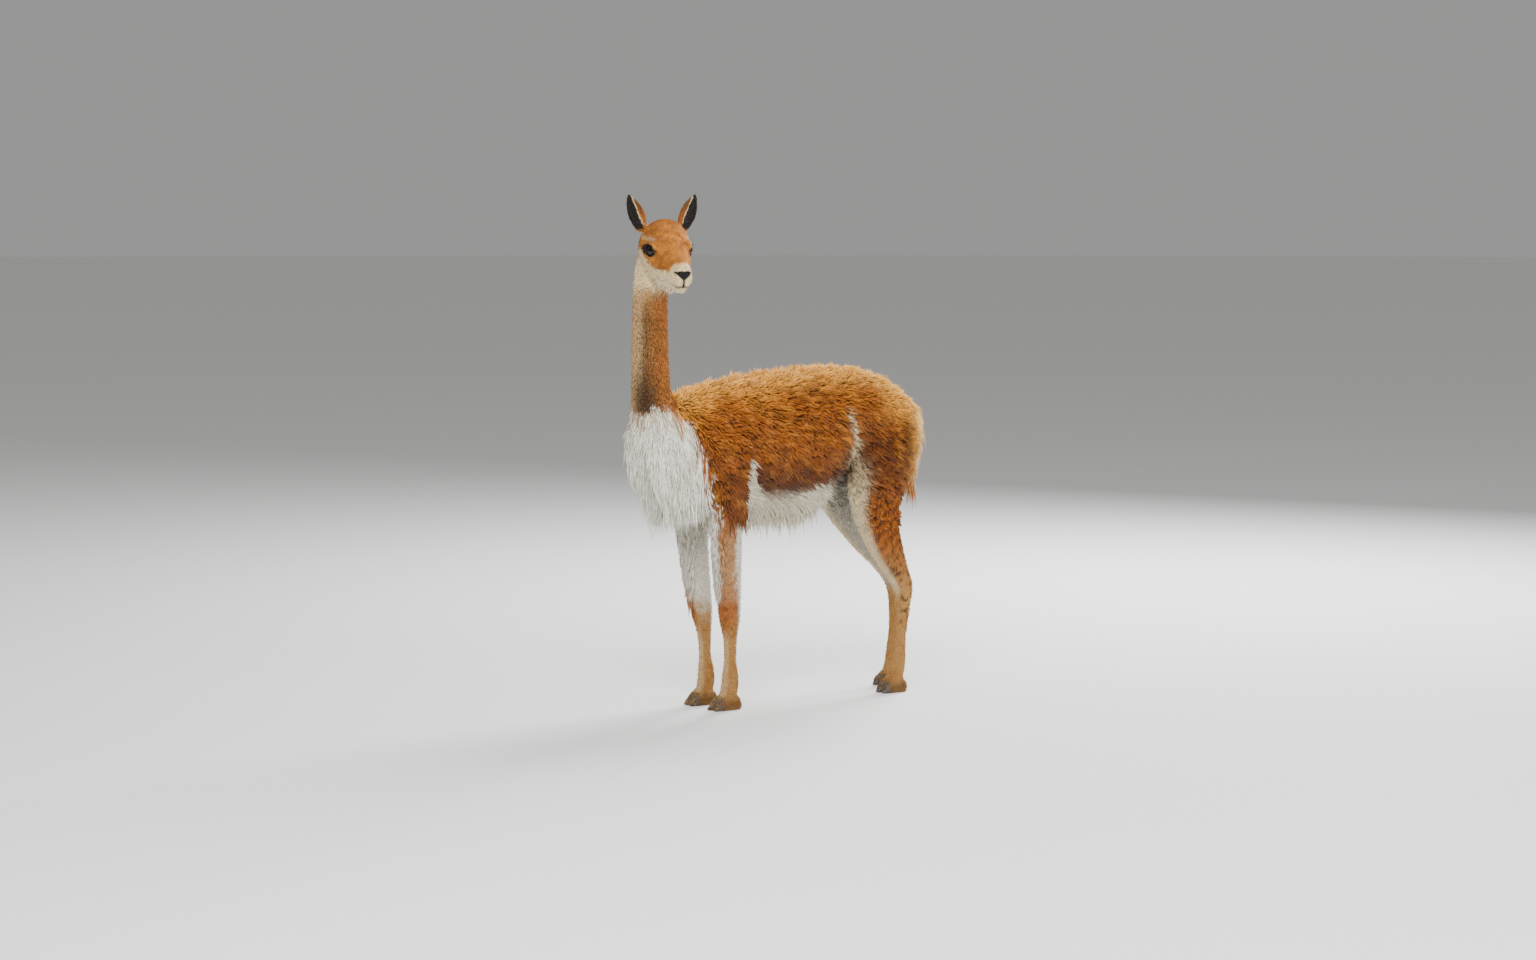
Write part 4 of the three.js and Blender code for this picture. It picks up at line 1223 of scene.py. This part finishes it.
class VICUNA_OT_eyes(bpy.types.Operator):
    """Model both eyes with a cornea, iris and level pupil"""

    bl_idname = "vicuna.eyes"
    bl_label = "Eyes"

    def execute(self, context):
        material = eye_material()
        for side, name in ((1, "left"), (-1, "right")):
            made, points = ball(f"eyeball_{name}", 64, 40)
            gaze = unit(np.array((0.42, side * 0.9, 0.02)))
            facing = points @ gaze
            bulge = 1 + 0.05 * ramp(0.72, 0.95, facing)
            own = from_head(points * bulge[:, None] * (EYE_RADIUS - 0.6) + EYE_AT * (1, side, 1))
            set_coordinates(made, own_to_row(own))
            level_way = unit(np.cross((0, 0, 1), gaze))
            pupil = np.hypot(points @ level_way / 0.42, points[:, 2] / 0.26)
            iris = np.broadcast_to(linear(30, 17, 9), points.shape)
            colour = mixed(iris, linear(3, 3, 5), ramp(1.1, 0.9, pupil))
            colour = mixed(colour, linear(9, 7, 6), ramp(0.8, 0.7, facing))
            places = made.data.uv_layers[0]
            places.name = "OFBake"
            full = np.ones((len(points), 4), np.float32)
            full[:, :3] = colour
            marks = made.data.color_attributes.new("markings", "FLOAT_COLOR", "POINT")
            marks.data.foreach_set("color", full.ravel())
            bpy.ops.object.shade_smooth()
            finished(made, material, "eye", f"eye_{name}")
        return {"FINISHED"}


class VICUNA_OT_nails(bpy.types.Operator):
    """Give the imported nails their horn"""

    bl_idname = "vicuna.nails"
    bl_label = "Nails"

    def execute(self, context):
        material = nail_material()
        for name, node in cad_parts.items():
            if name.startswith("nail_"):
                for slot in node.material_slots:
                    slot.material = material
        return {"FINISHED"}


class VICUNA_OT_fleece(bpy.types.Operator):
    """Grow the fleece of the back and flanks, and the softer hair of the rump"""

    bl_idname = "vicuna.fleece"
    bl_label = "Fleece"

    def execute(self, context):
        long = context.scene.vicuna_sizes.fleece_length / MM

        def is_fleece(p, n, parts):
            upper_leg = (parts >= 5) & (parts <= 6) & (p[:, 2] > 470)
            shoulder = (parts >= 3) & (parts <= 4) & (p[:, 2] > 530)
            return ((parts == TRUNK_PART) | upper_leg | shoulder) & ~before_edge(p)

        def length(p, parts):
            longer = 0.7 * ramp(690, 590, p[:, 2]) * ramp(-235, -190, p[:, 0]) * (parts == TRUNK_PART)
            return long * (1 - 0.4 * cracks(p)) * (1 + longer - 0.55 * down_leg(p, parts))

        def lift(p, parts):
            return (15 - 12 * cracks(p) + 4 * waves(p * (0.6, 1, 1), 34, 67)) * (1 - 0.75 * down_leg(p, parts))

        zones = {
            "fleece_back": lambda p, n: n[:, 2] > 0.45,
            "fleece_left": lambda p, n: (n[:, 2] <= 0.45) & (p[:, 1] < 0),
            "fleece_right": lambda p, n: (n[:, 2] <= 0.45) & (p[:, 1] >= 0),
        }
        for seed, (name, zone) in enumerate(zones.items()):
            weight = face_weight(lambda p, n, parts: is_fleece(p, n, parts) & zone(p, n) & (p[:, 0] < 330))
            coat_piece(name, "fleece", 100 + seed, weight, 15900, length, 5.6, lift, steps=2, sink=4,
                       taper=(0.8, 1), root_shade=0.5, tip_shade=1.2, clump=(30, (0.6, 1, 1), 11), mottle=0.2,
                       parting_shade=0.6)

        weight = face_weight(lambda p, n, parts: is_fleece(p, n, parts) & (p[:, 0] >= 300) & (n[:, 0] > 0.2))
        coat_piece("rump_hair", "fleece", 110, weight, 3800, 48, 6, 16, steps=4, sink=4, hang=0.3,
                   taper=(0.7, 1, 0.8, 0.5), tip_shade=1.3)
        return {"FINISHED"}


class VICUNA_OT_bib(bpy.types.Operator):
    """Grow the long white hair of the breast in hanging locks"""

    bl_idname = "vicuna.bib"
    bl_label = "Bib"

    def execute(self, context):
        long = context.scene.vicuna_sizes.bib_length / MM

        def length(p, parts):
            lowest = 520 + 20 * ramp(-400, -300, p[:, 0]) + 20 * ramp(40, 100, np.abs(p[:, 1]))
            return np.clip(long * (0.45 + 0.55 * ramp(840, 700, p[:, 2])), 18, p[:, 2] - lowest)

        weight = face_weight(lambda p, n, parts: bib_share(p) & (p[:, 2] > 520) & (parts != NECK_PART))
        coat_piece("bib_hair", "white", 120, weight, 6800, length, 7.5, 13, steps=5, sink=4, hang=0.25,
                   taper=(0.6, 1, 0.95, 0.75, 0.45), thick=0.5, root_shade=0.6, tip_shade=1.06,
                   clump=(46, (1, 1, 0.4), 12))
        weight = face_weight(lambda p, n, parts: bib_share(p) & (parts != NECK_PART))
        coat_piece("bib_down", "white", 121, weight, 5200, 34, 7, 9, steps=2, sink=4, taper=(0.8, 1),
                   root_shade=0.72, tip_shade=1.0)
        return {"FINISHED"}


class VICUNA_OT_fringe(bpy.types.Operator):
    """Grow the fringe under the belly and the longer flank hair that hangs over it"""

    bl_idname = "vicuna.fringe"
    bl_label = "Belly fringe"

    def execute(self, context):
        long = context.scene.vicuna_sizes.fringe_length / MM

        def length(p, parts):
            return long * (0.7 + 0.5 * ramp(620, 530, p[:, 2]))

        def is_belly(p, n, parts):
            return (parts == TRUNK_PART) & (p[:, 0] > -310) & (p[:, 0] < 80) & (p[:, 2] < 620) & (n[:, 2] < 0.1)

        coat_piece("belly_fringe", "white", 130, face_weight(is_belly), 4600, length, 7, 12, steps=4, hang=0.6,
                   taper=(0.6, 1, 0.8, 0.45), sink=4, tip_shade=1.05)
        return {"FINISHED"}


class VICUNA_OT_neck(bpy.types.Operator):
    """Grow the short coat of the neck"""

    bl_idname = "vicuna.neck"
    bl_label = "Neck coat"

    def execute(self, context):
        def density(p, n, parts):
            throat = (parts == HEAD_PART) & (p[:, 2] < 1150) & (to_head(p)[:, 0] < 50)
            return (parts == NECK_PART) | throat | ((parts == TRUNK_PART) & before_edge(p) & (p[:, 2] > 800))

        coat_piece("neck_coat", "fleece", 140, face_weight(density), 10400, 19, 5, 4.5, steps=2, sink=2, taper=(0.8, 1))
        return {"FINISHED"}


class VICUNA_OT_head(bpy.types.Operator):
    """Grow the fine short hair of the head and ears"""

    bl_idname = "vicuna.head"
    bl_label = "Head coat"

    def execute(self, context):
        def bare(p):
            h = to_head(p)
            side = np.abs(h[:, 1])
            eye = (np.hypot((h[:, 0] - 6) / 24, (h[:, 2] + 1) / 16.5) < 1) & (side > 24)
            pad = (h[:, 0] + 0.3 * side > 106) & (h[:, 2] < -42) & (side < nose_half(h[:, 2]))
            mouth = np.abs(h[:, 2] - np.interp(h[:, 0], MOUTH_LINE[:, 0], MOUTH_LINE[:, 1])) < 2.6
            return eye | pad | (mouth & (h[:, 0] > 62))

        def density(p, n, parts):
            h = to_head(p)
            return ((parts == HEAD_PART) & ~bare(p)) * (1 + 0.8 * ramp(40, 90, h[:, 0]))

        def length(p, parts):
            h = to_head(p)
            return 9 - 4.5 * ramp(20, 90, h[:, 0]) + 7 * ramp(-50, -90, h[:, 0])

        coat_piece("head_coat", "face", 150, face_weight(density), 14500, length, 2.7, 1.8, steps=2, sink=1.2,
                   taper=(0.8, 1), root_shade=0.75, tip_shade=1.1)
        lashes()
        weight = face_weight(lambda p, n, parts: parts >= EAR_PART)
        coat_piece("ear_coat", "ear", 151, weight, 5200, 8.5, 1.9, 1.2, steps=2, sink=0.8, taper=(0.8, 1),
                   root_shade=0.75, tip_shade=1.1)
        return {"FINISHED"}


def lashes():
    """Stiff dark lashes along both upper lids, curving up at their tips."""
    draw = np.random.default_rng(155)
    around = np.radians(np.linspace(15, 165, 26) + draw.uniform(-2, 2, 26))
    roots, paths = [], []
    for side in (-1, 1):
        off = np.stack([4 + 15 * np.cos(around), 0 * around, 13.5 * np.sin(around)], 1)
        off[:, 1] = side * np.sqrt(20.5**2 - (off[:, 0] / 1.1) ** 2 - off[:, 2] ** 2)
        start = EYE_AT * (1, side, 1) + off
        way = unit(off * (0.9, 0.8, 0.5) + (2, 0, -1))
        curl = unit(way + (0, 0, 0.6))
        long = draw.uniform(2.6, 4.2, (26, 1))
        roots.append(from_head(start))
        paths.append(np.stack([from_head(start - way), from_head(start + way * long),
                               from_head(start + (way + curl) * long)]))
    roots, paths = np.concatenate(roots), np.concatenate(paths, 1)
    count = len(roots)
    ways_out = np.broadcast_to(np.array((0, 0, 1.0)), (count, 3))
    parts = np.full(count, HEAD_PART)
    made = tufts("lashes", paths, ways_out, np.full(count, 1.0), 0.8, parts, roots,
                 lambda shares, count: np.full(shares.shape, 0.2), (1, 0.8))
    finished(made, coat_material(), "face")


class VICUNA_OT_legs(bpy.types.Operator):
    """Grow the short close coat of the legs"""

    bl_idname = "vicuna.legs"
    bl_label = "Leg coat"

    def execute(self, context):
        for seed, (name, numbers, count) in enumerate((("fore_leg_coat", (3, 4), 11000), ("hind_leg_coat", (5, 6), 12000))):
            def density(p, n, parts):
                own = (parts == numbers[0]) | (parts == numbers[1])
                return own * (1 + 0.9 * ramp(260, 180, p[:, 2])) * (p[:, 2] > 14)

            def length(p, parts):
                return 7 + 8 * ramp(280, 560, p[:, 2])

            def width(p, parts):
                return 2.9 + 1.2 * ramp(240, 560, p[:, 2])

            coat_piece(name, "fawn", 160 + seed, face_weight(density), count, length, width, 2.6, steps=2, sink=1.5,
                       taper=(0.8, 1), root_shade=0.75, tip_shade=1.1)
        return {"FINISHED"}


class VICUNA_OT_tail(bpy.types.Operator):
    """Grow the long soft hair of the tail"""

    bl_idname = "vicuna.tail"
    bl_label = "Tail hair"

    def execute(self, context):
        def length(p, parts):
            return np.minimum(105 + 0 * p[:, 0], p[:, 2] - 560)

        weight = face_weight(lambda p, n, parts: (parts == TAIL_PART) | ((p[:, 0] > 362) & (parts == TRUNK_PART)))
        coat_piece("tail_hair", "fleece", 170, weight, 2300, length, 8, 9, steps=5, hang=0.3, sink=4,
                   taper=(0.6, 1, 0.95, 0.75, 0.45), thick=0.5, tip_shade=1.2)
        return {"FINISHED"}


class VICUNA_OT_stage(bpy.types.Operator):
    """Lay the pale floor, hang the soft lights and set up the camera at the viewing angle"""

    bl_idname = "vicuna.stage"
    bl_label = "Stage"

    def execute(self, context):
        stage = context.scene.vicuna_stage
        deselect()
        bpy.ops.mesh.primitive_circle_add(vertices=96, radius=60, fill_type="NGON")
        floor = context.object
        floor.name = "floor"
        floor.data.materials.append(floor_material(stage.floor_colour))
        world = bpy.data.worlds.new("Soft light all round")
        world.use_nodes = True
        world.node_tree.nodes["Background"].inputs["Color"].default_value = (*stage.floor_colour, 1)
        world.node_tree.nodes["Background"].inputs["Strength"].default_value = 0.36
        context.scene.world = world
        soft_light("main", (-3.4, -4.2, 4.6), 3.2, stage.key_power)
        soft_light("rim", (3.6, 1.6, 3.4), 2.4, stage.key_power * 0.95)
        soft_light("fill", (1.2, -5.2, 2.2), 3.0, stage.key_power * 0.22)
        camera(stage.lens, stage.distance)
        return {"FINISHED"}


def soft_light(name, place, size, power):
    """A large square light that faces the middle of the animal."""
    bpy.ops.object.light_add(type="AREA", location=place)
    light = bpy.context.object
    light.name = f"{name}_light"
    light.data.shape = "SQUARE"
    light.data.size = size
    light.data.energy = power
    light.rotation_euler = (Vector((0, 0, 0.7)) - light.location).to_track_quat("-Z", "Y").to_euler()


CAMERA_AZIMUTH = -35
CAMERA_ELEVATION = 5
CAMERA_AIM = np.array((-120.5, -29.4, 606))


def camera(lens, distance):
    """A camera at the picture's viewing angle, aimed at the picture's middle."""
    a, e = math.radians(CAMERA_AZIMUTH), math.radians(CAMERA_ELEVATION)
    back = Vector((math.sin(a) * math.cos(e), -math.cos(a) * math.cos(e), math.sin(e)))
    bpy.ops.object.camera_add(location=Vector(own_to_row(CAMERA_AIM)) + back * distance)
    made = bpy.context.object
    made.name = "camera"
    made.rotation_euler = (-back).to_track_quat("-Z", "Y").to_euler()
    made.data.lens = lens
    made.data.sensor_width = 36
    made.data.clip_end = 200
    bpy.context.scene.camera = made


OPERATORS = [
    VICUNA_OT_skin, VICUNA_OT_eyes, VICUNA_OT_nails, VICUNA_OT_fleece, VICUNA_OT_bib, VICUNA_OT_fringe,
    VICUNA_OT_neck, VICUNA_OT_head, VICUNA_OT_legs, VICUNA_OT_tail, VICUNA_OT_stage,
]


class VICUNA_PT_panel(bpy.types.Panel):
    """Sizes, colours and the pieces in the order in which they are made"""

    bl_label = "Vicuna"
    bl_idname = "VICUNA_PT_panel"
    bl_space_type = "VIEW_3D"
    bl_region_type = "UI"
    bl_category = "Vicuna"

    def draw(self, context):
        for group in (context.scene.vicuna_sizes, context.scene.vicuna_colours, context.scene.vicuna_stage):
            box = self.layout.box()
            for key in group.__annotations__:
                box.prop(group, key)
        for operator in OPERATORS:
            self.layout.operator(operator.bl_idname)


CLASSES = [VicunaSizes, VicunaColours, VicunaStage, *OPERATORS, VICUNA_PT_panel]


def register():
    for made in CLASSES:
        bpy.utils.register_class(made)
    bpy.types.Scene.vicuna_sizes = bpy.props.PointerProperty(type=VicunaSizes)
    bpy.types.Scene.vicuna_colours = bpy.props.PointerProperty(type=VicunaColours)
    bpy.types.Scene.vicuna_stage = bpy.props.PointerProperty(type=VicunaStage)


def unregister():
    del bpy.types.Scene.vicuna_stage
    del bpy.types.Scene.vicuna_colours
    del bpy.types.Scene.vicuna_sizes
    for made in reversed(CLASSES):
        bpy.utils.unregister_class(made)


def main():
    register()
    bpy.ops.vicuna.skin()
    bpy.ops.vicuna.eyes()
    bpy.ops.vicuna.nails()
    bpy.ops.vicuna.fleece()
    bpy.ops.vicuna.bib()
    bpy.ops.vicuna.fringe()
    bpy.ops.vicuna.neck()
    bpy.ops.vicuna.head()
    bpy.ops.vicuna.legs()
    bpy.ops.vicuna.tail()
    bpy.ops.vicuna.stage()


if __name__ == "__main__":
    main()
